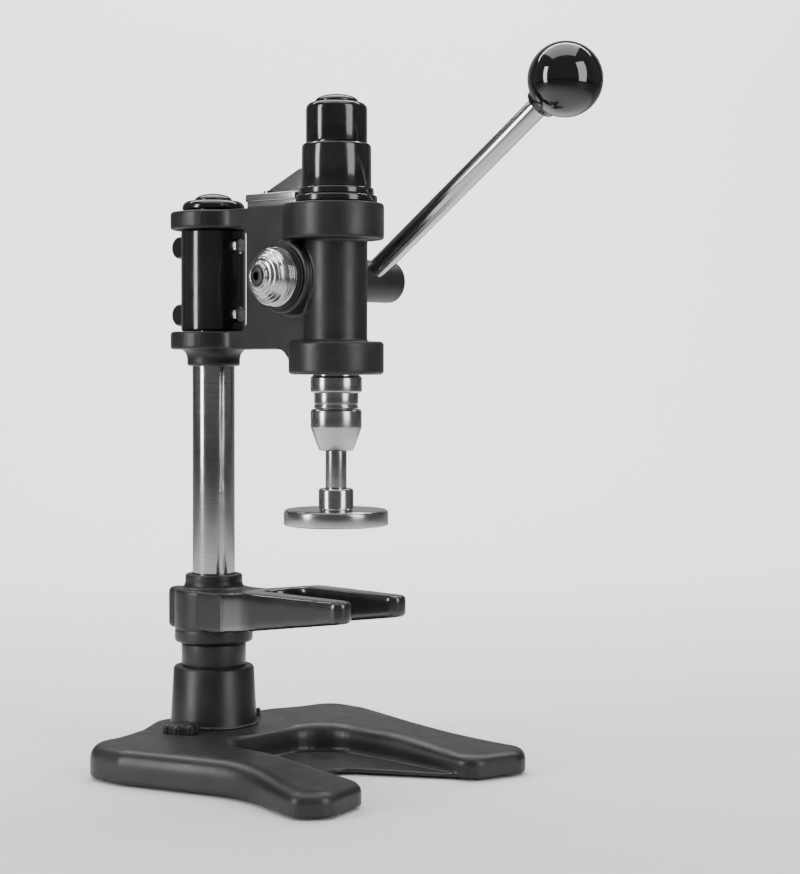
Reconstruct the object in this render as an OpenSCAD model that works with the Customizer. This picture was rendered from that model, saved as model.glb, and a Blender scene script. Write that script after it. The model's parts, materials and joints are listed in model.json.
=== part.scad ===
// Lever-operated tamping press: a horseshoe base carries a round column, a
// two-pronged holder fork and a head whose rack-driven quill presses a flat
// round tamper straight down. +Z is up, +X points from the column to the quill
// and the lever is on the +Y side. The origin is on the bench, on the column axis.

/* [Base] */
// Width across the two shoulders of the base
base_w = 199; // [185:1:220]
// Reach of the legs in front of the column axis
base_front = 176; // [165:1:195]
// Reach of the base behind the column axis
base_back = 33; // [31:1:38]
// Height of the base casting from its rim to its top
base_h = 18.5; // [17:0.5:24]
// Height of the legs' tips from the rim to their top
tip_h = 12.5; // [11:0.5:15]
// Depth of the round dish that the column socket stands in
dish_d = 1.8; // [1.5:0.1:4]
// Height of the rubber feet below the rim
foot_h = 1.5; // [1:0.5:3]
// Radius of the rubber feet
foot_r = 8; // [6:0.5:9]

/* [Column] */
// Radius of the column
col_r = 12.4; // [11:0.1:14]
// Height of the column's top end above the bench
col_top = 320; // [310:1:340]
// Radius of the column socket at its top
socket_r_top = 23.7; // [22:0.1:26]
// Radius of the column socket at its foot
socket_r_foot = 25.3; // [24:0.1:28]
// Height of the column socket's top above the bench
socket_top = 53; // [48:1:58]
// Radius of the neck that carries the fork
neck_r = 19; // [17:0.1:21]
// Length of the neck above the socket
neck_h = 14; // [10:1:20]

/* [Fork] */
// Radius of the fork's clamp boss
fork_boss_r = 23; // [21:0.1:25]
// Height of the fork's clamp boss, without its upper collar
fork_boss_h = 31.5; // [28:0.5:36]
// Radius of the fork's upper collar
fork_collar_r = 16.8; // [15.5:0.1:19]
// Height of the fork's upper collar
fork_collar_h = 8.5; // [6:0.5:12]
// Reach of the two prongs in front of the column axis
prong_reach = 133; // [125:1:145]
// Width of the gap between the prongs
prong_gap = 30; // [26:1:34]
// Width of one prong at its tip
prong_w = 13; // [11:0.5:15]
// Height of one prong at its tip
prong_tip_h = 11; // [9:0.5:13]
// Height of the fork's arm where it leaves the boss
prong_root_h = 23; // [20:0.5:26]
// How far the prong tips stand above the arm's root
prong_rise = 4; // [0:0.5:6]

/* [Head] */
// Distance from the column axis to the quill axis
reach = 101.6; // [96:0.1:108]
// Height of the head's underside at the column above the bench
head_z = 238.7; // [230:0.1:250]
// Height of the head casting from that underside to its top
head_h = 80.3; // [76:0.1:86]
// Radius of the two rings around the column
ring_r = 25.2; // [24:0.1:28]
// Height of each ring around the column
ring_h = 10.5; // [9:0.5:13]
// Thickness of the web between the column and the quill housing
web_t = 24; // [22:0.5:26]
// Radius of the quill housing
housing_r = 17.2; // [16.8:0.1:18.5]
// Radius of the two flanges of the quill housing
flange_r = 26.4; // [25:0.1:28]
// Height of the lower flange
lower_flange_h = 18.5; // [16:0.5:21]
// Height of the upper flange
upper_flange_h = 20; // [18:0.5:22]
// How far the lower flange hangs below the web
flange_drop = 14.2; // [12:0.1:16]
// Radius of the clamp sleeve between the two rings
sleeve_r = 19; // [18:0.1:20]
// Radius of the round boss around the pinion shaft
boss_r = 20.4; // [19.5:0.1:22]
// How far the near boss stands off the web
boss_h = 9.4; // [8:0.1:11]

/* [Quill] */
// Radius of the sliding quill
quill_r = 13; // [12.5:0.1:13.4]
// Travel of the tamper from rest to fully down
stroke = 22.4; // [18:0.1:24]
// Gear module of the rack and pinion
gear_m = 1.5; // [1.5]
// Number of teeth on the pinion
pinion_teeth = 18; // [18]
// Radius of the chuck ring under the housing
chuck_r = 14.3; // [14:0.1:15]
// Length of the collet nut
nut_h = 23.5; // [21:0.5:26]
// Length of the tamper shank that shows below the collet nut
shank_show = 20.9; // [16:0.1:24]
// Radius of the tamper shank
shank_r = 5.9; // [5.5:0.1:6.5]

/* [Tamper] */
// Radius of the tamper's working face
tamper_r = 29; // [26:0.5:30]
// Thickness of the tamper disc
tamper_t = 9; // [7:0.5:11]
// Radius of the boss on the tamper disc
tamper_boss_r = 9.7; // [9:0.1:11]
// Height of the boss on the tamper disc
tamper_boss_h = 11.6; // [9:0.1:13]

/* [Lever] */
// Length of the lever from the shaft axis to the ball's centre
lever_l = 178; // [160:1:190]
// Angle of the lever above level at rest
lever_a = 34.9; // [30:0.1:45]
// Radius of the lever rod
rod_r = 5.8; // [5:0.1:6.5]
// Radius of the ball on the lever
ball_r = 20; // [17:0.5:22]
// Distance of the lever's plane from the middle of the press
lever_y = 45; // [42:0.5:50]
// Radius of the pinion shaft
shaft_r = 7; // [6.5:0.1:7.5]
// Radius of the lever's hub
hub_r = 12.2; // [11.5:0.1:14]

/* [Spring cap] */
// Radius of the lower spring housing
spring_case_r = 19.3; // [19:0.1:20.5]
// Height of the lower spring housing
spring_case_h = 24.9; // [22:0.1:28]
// Radius of the turning cap on top
cap_r = 17; // [16.8:0.1:18.5]
// Height of the turning cap without its dome
cap_h = 22.2; // [20:0.1:25]

/* [Fits] */
// Radial clearance of every running fit
run = 0.05; // [0.02:0.01:0.1]
// Gap between faces that move past each other
gap = 0.3; // [0.2:0.05:0.4]

/* [Hidden] */
$fn = 96;

black_cast = [0.07, 0.07, 0.07];
black_gloss = [0.03, 0.03, 0.03];
steel = [0.72, 0.72, 0.72];
dark_steel = [0.35, 0.35, 0.36];
bronze = [0.65, 0.50, 0.28];
rubber_black = [0.05, 0.05, 0.05];

corner_steps = 8;       // straight pieces in a rounded corner
eps = 0.5;              // overlap that joins solids of one piece
slack = 1;              // overrun of a cut past the face it leaves

// Heights of the base and the column
rim_z = foot_h;
base_top = rim_z + base_h;
dish_z = base_top - dish_d;
dish_r = 50;            // radius of the dish around the column socket
bore_z = rim_z + 4;     // floor of the column's bore in the base
neck_top = socket_top + neck_h;

// Heights of the fork
fork_z = neck_top;
fork_top = fork_z + fork_boss_h;
arm_bottom = fork_top - prong_root_h;
prong_top = fork_top + prong_rise;
coat_t = 1;             // thickness of the dipped coat on the arm and prongs
coat_x = 29;            // where the dipped coat begins
ear_reach = 31;         // reach of the clamp ears behind the column axis
ear_half = 10;          // half the width across the two clamp ears
slit = 3;               // width of the fork's clamping slit

// Heights of the head
head_top = head_z + head_h;
ring_low_top = head_z + ring_h;
ring_up_bottom = head_top - ring_h;
flange_z = head_z - flange_drop;
window_x = 41;          // front edge of the window in the web
window_corner = 5.5;    // corner radius of the window
pinion_r = gear_m * pinion_teeth / 2;
pinion_tip_r = pinion_r + gear_m;
pinion_w = 16;          // face width of the pinion
rack_back = 8.1;        // distance from the quill axis back to the rack's pitch line
shaft_x = reach - rack_back - pinion_r;
shaft_z = flange_z + 53.8;
travel_a = stroke / pinion_r * 180 / PI;
tooth_slack = 0.12;     // play between the teeth, measured along the pitch line
web_y = web_t / 2;
boss_y = web_y + boss_h;
far_boss_h = 10;        // how far the far boss stands off the web
far_boss_r = 18.5;
far_boss_y = web_y + far_boss_h;
cavity_r = pinion_tip_r + 0.6;
narrow_r = 11.9;        // radius of the shaft bushes beside the quill
quill_side = quill_r + 0.5;

// Heights of the quill, chuck and tamper
chuck_top = flange_z - 0.5;
chuck_ring_h = 9.5;
chuck_neck_h = 8.5;
chuck_neck_r = 12.3;
neck_bottom = chuck_top - chuck_ring_h - chuck_neck_h;
nut_bottom = neck_bottom - nut_h;
nut_r = 14.2;
nut_nose_r = 10;
nut_straight = 10;
collet_r = 9.2;
tamper_top = nut_bottom - shank_show - tamper_boss_h;
tamper_z = tamper_top - tamper_t;
quill_bore = 8;

// Heights of the spring cap
ring1_h = 4.3;
ring1_r = 22.6;
ring2_h = 4.2;
ring2_r = 20.7;
case_z = head_top + ring1_h + ring2_h;
cap_z = case_z + spring_case_h;
cap_top = cap_z + cap_h;
cap_wall = 1.5;
quill_nut_h = 6;
quill_nut_r = cap_r - cap_wall - gap;
quill_top = cap_top - 6.5;
spring_wire = 1.6;
spring_turns = 7;
spring_r = quill_r + gap + spring_wire / 2 + 0.2;
spring_z = head_top + ring1_h;
spring_top = quill_top - quill_nut_h;

// ---- Shared shapes ----

function unit(v) = v / norm(v);
function left_of(v) = [-v.y, v.x];
function turn(a) = (a + 540) - 360 * floor((a + 540) / 360) - 180;

// Points of the arc of radius r that rounds corner b on the path a, b, c
function corner(a, b, c, r) =
    let (u = unit(a - b), w = unit(c - b), half = acos(u * w) / 2,
         m = b + unit(u + w) * r / sin(half),
         p = b + u * r / tan(half) - m, q = b + w * r / tan(half) - m,
         from = atan2(p.y, p.x), sweep = turn(atan2(q.y, q.x) - from))
    [for (i = [0 : corner_steps])
        m + r * [cos(from + sweep * i / corner_steps), sin(from + sweep * i / corner_steps)]];

// Closed outline through corners [x, y, radius], moved in by g on every side
function outline(c, g = 0) =
    let (n = len(c), p = [for (k = c) [k.x, k.y]],
         bend = [for (i = [0 : n - 1])
             cross(p[i] - p[(i + n - 1) % n], p[(i + 1) % n] - p[i])],
         side = [for (i = [0 : n - 1]) left_of(unit(p[(i + 1) % n] - p[i]))],
         q = [for (i = [0 : n - 1])
             let (s = side[(i + n - 1) % n], t = side[i]) p[i] + g * (s + t) / (1 + s * t)])
    [for (i = [0 : n - 1])
        each corner(q[(i + n - 1) % n], q[i], q[(i + 1) % n],
            max(1, bend[i] > 0 ? c[i][2] - g : c[i][2] + g))];

module tube(r_out, r_in, h) {
    difference() {
        cylinder(r = r_out, h = h);
        translate([0, 0, -slack]) cylinder(r = r_in, h = h + 2 * slack);
    }
}

// A solid turned about the Y axis; its profile's heights run towards -Y
module turned_y(profile) {
    rotate([90, 0, 0]) rotate_extrude() polygon(profile);
}

module along_y(x, z) {
    translate([x, 0, z]) children();
}

module hex_socket(across, depth) {
    cylinder(r = across / sqrt(3), h = depth, $fn = 6);
}

// Socket-head screw standing on z = 0, with its shank below
module cap_screw(r, head_r, head_h, length) {
    difference() {
        union() {
            cylinder(r = head_r, h = head_h);
            translate([0, 0, -length]) cylinder(r = r, h = length + eps);
        }
        translate([0, 0, head_h * 0.4]) hex_socket(head_r, head_h);
    }
}

// ---- Base ----

half_w = base_w / 2;
tip_out = half_w - 8;
leg_in = 41;            // half the width of the space between the legs
crotch_x = 48;          // back of that space
apron_t = 3;            // thickness of the apron at the foot of the legs' inner walls
apron_x = 88;           // back of the opening in the apron
fall_start = 95;        // where the legs' top begins to fall towards the tips
fall_end = 150;         // where it reaches the height of the tips
rim_h = 5;              // upright part of the outer walls, below their rounding
round_w = 16;           // width of the rounding along the two shoulders
round_b = 12;           // width of the rounding at the back
near_outer = [[-base_back, -18, 20], [-12, -50, 20], [-4, -72, 28], [-2, -half_w, 19], [33, -half_w, 18],
    [108, -half_w + 22, 70], [base_front - 12, -tip_out, 9], [base_front, -tip_out + 14, 12]];
near_inner = [[base_front - 9, -leg_in, 12], [crotch_x, -leg_in, 24]];
near_apron = [[base_front - 9, -leg_in, 12], [apron_x, 0, 12]];
foot_places = [[0, 0], [20, -half_w + 20], [20, half_w - 20],
    [base_front - 19, -half_w + 32], [base_front - 19, half_w - 32]];

// The path of one side, followed by the same path on the other side in reverse order
function both_sides(c) = concat(c,
    [for (i = [len(c) - 1 : -1 : 0]) if (c[i].y != 0) [c[i].x, -c[i].y, c[i][2]]]);

module base_outline(height, inner) {
    translate([0, 0, rim_z]) linear_extrude(height) polygon(outline(both_sides(concat(near_outer, inner))));
}

// Quarter of an ellipse from [x, z] up to the level z + b, drawn towards x + a
function quarter(x, z, a, b) = [for (i = [0 : 15 : 90]) [x + a * (1 - cos(i)), z + b * sin(i)]];

module base_side_view() {
    low = rim_z + rim_h;
    tip = quarter(base_front, low, fall_end - base_front, rim_z + tip_h - low);
    rotate([90, 0, 0]) translate([0, 0, -base_w]) linear_extrude(2 * base_w)
        polygon(concat([[-base_back, 0]], quarter(-base_back, low, round_b, base_top - low),
            [[fall_start, base_top], [fall_start + 18, base_top - 1], [fall_end - 18, rim_z + tip_h + 1.2]],
            [for (i = [len(tip) - 1 : -1 : 0]) tip[i]], [[base_front, 0]]));
}

module base_front_view() {
    low = rim_z + rim_h;
    left = quarter(-half_w, low, round_w, base_top - low);
    right = [for (i = [len(left) - 1 : -1 : 0]) [-left[i].x, left[i].y]];
    rotate([90, 0, 90]) translate([0, 0, -base_front]) linear_extrude(3 * base_front)
        polygon(concat([[-half_w, 0]], left, right, [[half_w, 0]]));
}

module base_casting() {
    color(black_cast) difference() {
        intersection() {
            union() {
                base_outline(base_h, near_inner);
                base_outline(apron_t, near_apron);
            }
            base_side_view();
            base_front_view();
        }
        translate([0, 0, dish_z]) cylinder(r = dish_r, h = base_h);
        translate([0, 0, bore_z]) cylinder(r = col_r + run, h = base_h);
        translate([knob_x, -knob_y, dish_z - 8]) cylinder(r = knob_stud_r, h = base_h);
        translate([stud_x, stud_y, dish_z - 5]) cylinder(r = stud_r, h = base_h);
    }
}

module rubber_feet() {
    color(rubber_black) for (p = foot_places) translate([p.x, p.y, 0]) cylinder(r = foot_r, h = foot_h);
}

module column_socket() {
    color(black_cast) difference() {
        union() {
            rotate_extrude() polygon([[0, dish_z], [socket_r_foot + 1, dish_z],
                [socket_r_foot + 1, dish_z + 1.2], [socket_r_foot, dish_z + 1.6],
                [socket_r_top, socket_top - 2.5], [socket_r_top - 0.8, socket_top - 0.8],
                [socket_r_top - 2.5, socket_top], [0, socket_top]]);
            translate([-socket_r_foot - 2.6, -4, dish_z]) cube([10, 8, (socket_top - dish_z) * 0.68]);
        }
        translate([0, 0, dish_z - slack]) cylinder(r = col_r + run, h = socket_top);
        translate([-socket_r_foot - 5, 0, socket_top - 16]) rotate([0, 90, 0])
            cylinder(r = 3, h = socket_r_foot);
    }
}

module neck_collar() {
    color(black_cast) translate([0, 0, socket_top]) difference() {
        union() {
            cylinder(r = neck_r, h = neck_h - 1);
            cylinder(r = neck_r - 1, h = neck_h);
        }
        translate([0, 0, -slack]) cylinder(r = col_r + run, h = neck_h + 2 * slack);
    }
}

module column() {
    color(steel) translate([0, 0, bore_z]) cylinder(r = col_r, h = col_top - bore_z);
}

module column_lock_screw() {
    color(dark_steel) translate([-col_r - run, 0, socket_top - 16]) rotate([0, -90, 0]) difference() {
        cylinder(r = 3, h = socket_r_top - col_r - 1);
        translate([0, 0, socket_r_top - col_r - 4]) hex_socket(3, 5);
    }
}

cap_disc_r = 18.3;
cap_disc_h = 6.5;
cap_gap_z = col_top - head_top;

module column_cap() {
    color(black_gloss) translate([0, 0, head_top + gap]) difference() {
        rotate_extrude() polygon(concat([[0, 0]], [for (i = [0 : 6])
            [cap_disc_r - 5 * (1 - cos(i * 15)), 1.5 + (cap_disc_h - 1.5) * sin(i * 15)]],
            [[0, cap_disc_h]]));
        translate([0, 0, -slack]) cylinder(r = col_r, h = cap_gap_z - gap + slack);
    }
}

module cap_button() {
    color(black_gloss) translate([0, 0, head_top + gap + cap_disc_h])
        rotate_extrude() polygon(concat([[0, 0]], [for (i = [0 : 6])
            [11 * cos(i * 15), 0.4 + 3.9 * sin(i * 15)]]));
}

knob_x = 13;
knob_y = 36.6;
knob_r = 10.6;
knob_h = 6;
knob_stud_r = 3;
stud_x = 2;
stud_y = 34;
stud_r = 1.3;

module locating_stud() {
    color(dark_steel) translate([stud_x, stud_y, dish_z - 5]) cylinder(r = stud_r, h = 10);
}

module base_knob() {
    color(black_cast) translate([knob_x, -knob_y, dish_z + gap]) difference() {
        union() {
            cylinder(r = knob_r - 2.6, h = knob_h);
            for (a = [0 : 60 : 300]) rotate(a) translate([knob_r - 3, 0, 0])
                cylinder(r = 2.8, h = knob_h - 1);
        }
        translate([0, 0, -slack]) cylinder(r = knob_stud_r, h = 4 + slack);
    }
}

module knob_stud() {
    color(steel) translate([knob_x, -knob_y, dish_z - 7]) cylinder(r = knob_stud_r - run, h = 7 + gap + 4);
}

// ---- Fork ----

gap_root = 50;          // how far the gap between the prongs is cut back
palm = [[-8, -22, 4], [30, -22, 30], [60, -prong_gap / 2 - prong_w - 3, 40],
    [prong_reach, -prong_gap / 2 - prong_w, prong_w / 2 - 0.5],
    [prong_reach, -prong_gap / 2, prong_w / 2 - 0.5]];

module palm_outline(g = 0) {
    polygon(outline(both_sides(concat(palm, [[gap_root, -prong_gap / 2, prong_gap / 2 - 1]])), g));
}

// Side view of the arm and prongs: the top rises a little and the underside climbs to the tips
module arm_side(g = 0) {
    rotate([90, 0, 0]) translate([0, 0, -60]) linear_extrude(120)
        polygon([[-20, arm_bottom + g], [26, arm_bottom + g],
            [prong_reach - 4, prong_top - prong_tip_h + g], [prong_reach + 5, prong_top - prong_tip_h + 2],
            [prong_reach + 5, prong_top - g], [60, prong_top - g], [22, fork_top - g], [-20, fork_top - g]]);
}

module arm(g) {
    intersection() {
        translate([0, 0, arm_bottom - 5]) linear_extrude(50) palm_outline(g);
        arm_side(g);
    }
}

module fork_bore() {
    translate([0, 0, fork_z - slack])
        cylinder(r = col_r + run, h = fork_boss_h + fork_collar_h + 2 * slack);
}

module fork_casting() {
    color(black_cast) difference() {
        union() {
            rotate_extrude() polygon([[0, fork_z], [fork_boss_r - 2, fork_z],
                [fork_boss_r - 0.6, fork_z + 0.6], [fork_boss_r, fork_z + 2],
                [fork_boss_r, fork_top - 1], [fork_boss_r - 1, fork_top], [fork_collar_r + 3, fork_top],
                [fork_collar_r + 0.9, fork_top + 0.9], [fork_collar_r, fork_top + 3],
                [fork_collar_r, fork_top + fork_collar_h - 0.6],
                [fork_collar_r - 0.6, fork_top + fork_collar_h], [0, fork_top + fork_collar_h]]);
            translate([-ear_reach, -ear_half, fork_z + 6]) cube([ear_reach, 2 * ear_half, fork_boss_h - 6.6]);
            difference() {
                arm(0);
                difference() {
                    arm(-1);
                    arm(coat_t);
                    translate([-50, -60, 0]) cube([50 + coat_x, 120, 200]);
                }
            }
        }
        fork_bore();
        translate([-ear_reach - slack, -slit / 2, fork_z - slack]) cube([ear_reach, slit, 60]);
        translate([clamp_x, clamp_end, clamp_z]) rotate([-90, 0, 0]) cylinder(r = 2.55, h = 50);
    }
}

clamp_x = -ear_reach + 4.7;
clamp_z = fork_z + fork_boss_h / 2;
clamp_end = -ear_half + 2;      // where the clamp screw's blind hole ends in the near ear

module fork_coat() {
    color(black_gloss) intersection() {
        difference() {
            arm(0);
            arm(coat_t);
        }
        translate([coat_x, -60, 0]) cube([120, 120, 200]);
    }
}

module fork_clamp_screw() {
    color(dark_steel) translate([clamp_x, ear_half, clamp_z]) rotate([-90, 0, 0])
        cap_screw(2.5, 4, 4, ear_half - clamp_end - 1);
}

// ---- Clamp sleeve ----

sleeve_z = ring_low_top + gap;
sleeve_h = ring_up_bottom - ring_low_top - 2 * gap;
lug_z = [sleeve_z + 9.5, sleeve_z + sleeve_h - 9.5];
lug_r = 6.5;
lug_half = 10;          // half the width of the sleeve's rear lugs

module clamp_sleeve() {
    color(black_gloss) difference() {
        union() {
            translate([0, 0, sleeve_z]) cylinder(r = sleeve_r, h = sleeve_h);
            for (z = lug_z) translate([-sleeve_r - 1, 0, z]) rotate([90, 0, 0])
                translate([0, 0, -lug_half]) cylinder(r = lug_r, h = 2 * lug_half);
        }
        translate([0, 0, sleeve_z - slack]) cylinder(r = col_r + run, h = sleeve_h + 2 * slack);
        translate([-40, -1, sleeve_z - slack]) cube([40, 2, sleeve_h + 2 * slack]);
        for (z = lug_z) {
            translate([-sleeve_r - 1.5, -lug_half + 2, z]) rotate([-90, 0, 0]) cylinder(r = 2.05, h = 50);
            translate([col_r - 1, 0, z]) rotate([0, 90, 0]) cylinder(r = 2.5, h = 20);
        }
    }
}

module sleeve_rear_screws() {
    color(dark_steel) for (z = lug_z) translate([-sleeve_r - 1.5, lug_half, z]) rotate([-90, 0, 0])
        cap_screw(2, 3.5, 3, 2 * lug_half - 3);
}

module sleeve_lock_screws() {
    color(steel) for (z = lug_z) translate([col_r + run, 0, z]) rotate([0, 90, 0]) union() {
        cylinder(r = 2.45, h = sleeve_r - col_r + 6);
        translate([0, 0, sleeve_r - col_r]) cylinder(r = 4.6, h = 4.4, $fn = 6);
    }
}

// ---- Head ----

module stadium(r, stretch, h) {
    cylinder(r = r, h = h);
    translate([-stretch, 0, 0]) cylinder(r = r, h = h);
    translate([-stretch, -r, 0]) cube([stretch, 2 * r, h]);
}

flange_stretch = 4.5;
flare_r = 18.5;
collar_r = 15.5;
collar_h = 9.7;

module web_plate() {
    translate([0, web_y, 0]) rotate([90, 0, 0]) linear_extrude(web_t) difference() {
        polygon([[0, head_z], [reach, head_z], [reach, head_top], [0, head_top]]);
        polygon(outline([[-5, ring_low_top, 1], [window_x, ring_low_top, window_corner],
            [window_x, ring_up_bottom, window_corner], [-5, ring_up_bottom, 1]]));
    }
}

module head_casting() {
    color(black_cast) difference() {
        union() {
            rotate_extrude() polygon([[0, head_z - collar_h], [collar_r - 1, head_z - collar_h],
                [collar_r, head_z - collar_h + 1], [collar_r, head_z - 3.5], [collar_r + 1, head_z - 1.2],
                [flare_r, head_z], [ring_r - 1, head_z], [ring_r, head_z + 1],
                [ring_r, ring_low_top - 1], [ring_r - 1, ring_low_top], [0, ring_low_top]]);
            rotate_extrude() polygon([[0, ring_up_bottom], [ring_r - 1, ring_up_bottom],
                [ring_r, ring_up_bottom + 1], [ring_r, head_top - 1], [ring_r - 1, head_top], [0, head_top]]);
            web_plate();
            translate([reach, 0, flange_z]) {
                cylinder(r = housing_r, h = head_top - flange_z);
                cylinder(r = flange_r, h = lower_flange_h);
            }
            translate([reach, 0, head_top - upper_flange_h])
                stadium(flange_r, flange_stretch, upper_flange_h);
            along_y(shaft_x, shaft_z) rotate([90, 0, 0]) cylinder(r = boss_r, h = boss_y);
            along_y(shaft_x, shaft_z) rotate([-90, 0, 0]) cylinder(r = far_boss_r, h = far_boss_y);
        }
        translate([0, 0, head_z - 30]) cylinder(r = col_r + run, h = head_h + 60);
        translate([reach, 0, flange_z - slack]) {
            cylinder(r = quill_side, h = head_top - flange_z + 2 * slack);
            cylinder(r = bush_r, h = bush_low_h + slack);
        }
        translate([reach, 0, head_top - bush_up_h]) cylinder(r = bush_r, h = bush_up_h + slack);
        along_y(shaft_x, shaft_z) rotate([90, 0, 0]) {
            translate([0, 0, -pinion_w / 2 - 1.5]) cylinder(r = cavity_r, h = boss_y + 30);
            translate([0, 0, -far_boss_y - slack]) cylinder(r = narrow_r, h = far_boss_y + 10);
        }
        translate([bracket_x, bracket_y, head_top - 6]) cylinder(r = 1.6, h = 6 + slack);
    }
}

bush_r = 15.6;
bush_low_h = 16;
bush_up_h = 17;

module quill_bush_lower() {
    color(bronze) translate([reach, 0, flange_z]) tube(bush_r, quill_r + run, bush_low_h);
}

module quill_bush_upper() {
    color(bronze) translate([reach, 0, head_top - bush_up_h]) tube(bush_r, quill_r + run, bush_up_h);
}

bush_start = pinion_w / 2 + 1.5;        // both shaft bushes begin this far from the middle
bush_step = quill_r + 0.5;              // beyond this the quill is out of the way
cover_t = 1.6;

module pinion_bush_near() {
    color(bronze) along_y(shaft_x, shaft_z) turned_y([[shaft_r + run, bush_start],
        [narrow_r - 0.4, bush_start], [narrow_r - 0.4, bush_step], [cavity_r, bush_step],
        [cavity_r, boss_y - cover_t], [shaft_r + run, boss_y - cover_t]]);
}

module pinion_bush_far() {
    color(bronze) along_y(shaft_x, shaft_z) rotate([-90, 0, 0]) translate([0, 0, bush_start])
        tube(narrow_r, shaft_r + run, far_boss_y - bush_start);
}

module boss_cover() {
    color(black_gloss) along_y(shaft_x, shaft_z) turned_y([[shaft_r + 1, boss_y - cover_t],
        [cavity_r, boss_y - cover_t], [cavity_r, boss_y], [shaft_r + 1, boss_y]]);
}

module lock_ring_lower() {
    color(black_gloss) translate([reach, 0, head_top]) tube(ring1_r, quill_r + run + 0.4, ring1_h);
}

module lock_ring_upper() {
    color(black_gloss) translate([reach, 0, head_top + ring1_h])
        tube(ring2_r, spring_case_r - 2.4, ring2_h);
}

module spring_case() {
    color(black_gloss) translate([reach, 0, case_z]) difference() {
        union() {
            cylinder(r = spring_case_r, h = spring_case_h - 1.5);
            cylinder(r = spring_case_r - 1.2, h = spring_case_h - gap);
        }
        translate([0, 0, -slack]) cylinder(r = spring_case_r - 2.4, h = spring_case_h - 4);
        cylinder(r = cap_r - cap_wall, h = spring_case_h + slack);
    }
}

module return_spring() {
    pitch = (spring_top - spring_z - spring_wire) / spring_turns;
    steps = 14;
    sides = 6;
    count = spring_turns * steps;
    points = [for (i = [0 : count], k = [0 : sides - 1])
        let (a = i * 360 / steps, b = k * 360 / sides, r = spring_r + spring_wire / 2 * cos(b))
        [r * cos(a), r * sin(a), spring_wire / 2 + pitch * i / steps + spring_wire / 2 * sin(b)]];
    faces = concat([[for (k = [0 : sides - 1]) k]],
        [for (i = [0 : count - 1], k = [0 : sides - 1])
            let (p = i * sides + k, q = i * sides + (k + 1) % sides) [p, p + sides, q + sides, q]],
        [[for (k = [sides - 1 : -1 : 0]) count * sides + k]]);
    color(steel) translate([reach, 0, spring_z]) polyhedron(points, faces);
}

bracket_x = 52;
bracket_y = -4.5;
bracket_back = 38.5;
bracket_front = reach - ring1_r - 0.6;
bracket_half = 9;
bracket_base_t = 3.4;
bracket_plate_t = 4.4;

module bracket_base() {
    color(steel) difference() {
        translate([bracket_back, -bracket_half, head_top])
            cube([bracket_front - bracket_back, 2 * bracket_half, bracket_base_t]);
        translate([bracket_x, bracket_y, head_top - slack]) cylinder(r = 1.6, h = 10);
    }
}

module bracket_plate() {
    color(steel) difference() {
        translate([bracket_back - 0.8, -bracket_half - 0.6, head_top + bracket_base_t])
            cube([bracket_front - bracket_back + 0.8, 2 * bracket_half + 1.2, bracket_plate_t]);
        translate([bracket_x, bracket_y, head_top]) cylinder(r = 1.6, h = 20);
    }
}

gusset_t = 3;
gusset_y = 4;           // how far the upright plate stands from the middle
gusset_x = 41;
gusset_top_x = 69;
gusset_high = 13.7;

module bracket_gusset() {
    z = head_top + bracket_base_t + bracket_plate_t;
    far = reach - spring_case_r - 0.3;
    color(steel) translate([0, gusset_y + gusset_t / 2, 0]) rotate([90, 0, 0]) linear_extrude(gusset_t)
        polygon([[gusset_x, z], [bracket_front, z], [bracket_front, z + 0.8], [far, z + 0.8],
            [far, z + gusset_high], [gusset_top_x, z + gusset_high], [gusset_x, z + 1.5]]);
}

module bracket_screw() {
    color(steel) translate([bracket_x, bracket_y, head_top + bracket_base_t + bracket_plate_t])
        cap_screw(1.6, 3, 1.6, 12);
}

// ---- Turning cap ----

module adjusting_cap() {
    color(black_gloss) translate([reach, 0, cap_z]) difference() {
        rotate_extrude() polygon(concat([[0, 0], [cap_r, 0]], [for (i = [0 : 6])
            [cap_r - 4 + 4 * cos(i * 15), cap_h - 4 + 4 * sin(i * 15)]], [[0, cap_h]]));
        translate([0, 0, -slack]) cylinder(r = cap_r - cap_wall, h = cap_h - 5 + slack);
    }
}

module adjusting_cap_button() {
    color(black_gloss) translate([reach, 0, cap_top]) rotate_extrude()
        polygon(concat([[0, 0]], [for (i = [0 : 6]) [12 * cos(i * 15), 0.6 + 3.8 * sin(i * 15)]]));
}

// ---- Quill and chuck ----

rack_pitch = PI * gear_m;
rack_tip_x = reach - rack_back - gear_m;
rack_root_x = reach - rack_back + 1.25 * gear_m;

// Cuts the rack: a flat down to the tooth tips, then one tapered groove for each gap
module rack_cut() {
    low = shaft_z - 3 * rack_pitch;
    high = shaft_z + stroke + 3 * rack_pitch;
    half_tip = rack_pitch / 4 + gear_m * tan(20) + tooth_slack / 2;
    half_root = rack_pitch / 4 - 1.25 * gear_m * tan(20) + tooth_slack / 2;
    translate([reach - quill_r - slack, -quill_r, low])
        cube([rack_tip_x - reach + quill_r + slack, 2 * quill_r, high - low]);
    for (z = [shaft_z - 2 * rack_pitch : rack_pitch : high - rack_pitch])
        translate([0, quill_r, z]) rotate([90, 0, 0]) linear_extrude(2 * quill_r)
            polygon([[rack_tip_x - eps, -half_tip], [rack_tip_x, -half_tip], [rack_root_x, -half_root],
                [rack_root_x, half_root], [rack_tip_x, half_tip], [rack_tip_x - eps, half_tip]]);
}

module quill() {
    color(steel) difference() {
        translate([reach, 0, chuck_top]) cylinder(r = quill_r, h = quill_top - chuck_top - quill_nut_h);
        translate([reach + 1.4, 0, chuck_top - slack]) cylinder(r = 5, h = 200);
        rack_cut();
    }
}

module quill_nut() {
    color(steel) translate([reach, 0, quill_top - quill_nut_h]) cylinder(r = quill_nut_r, h = quill_nut_h);
}

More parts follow.
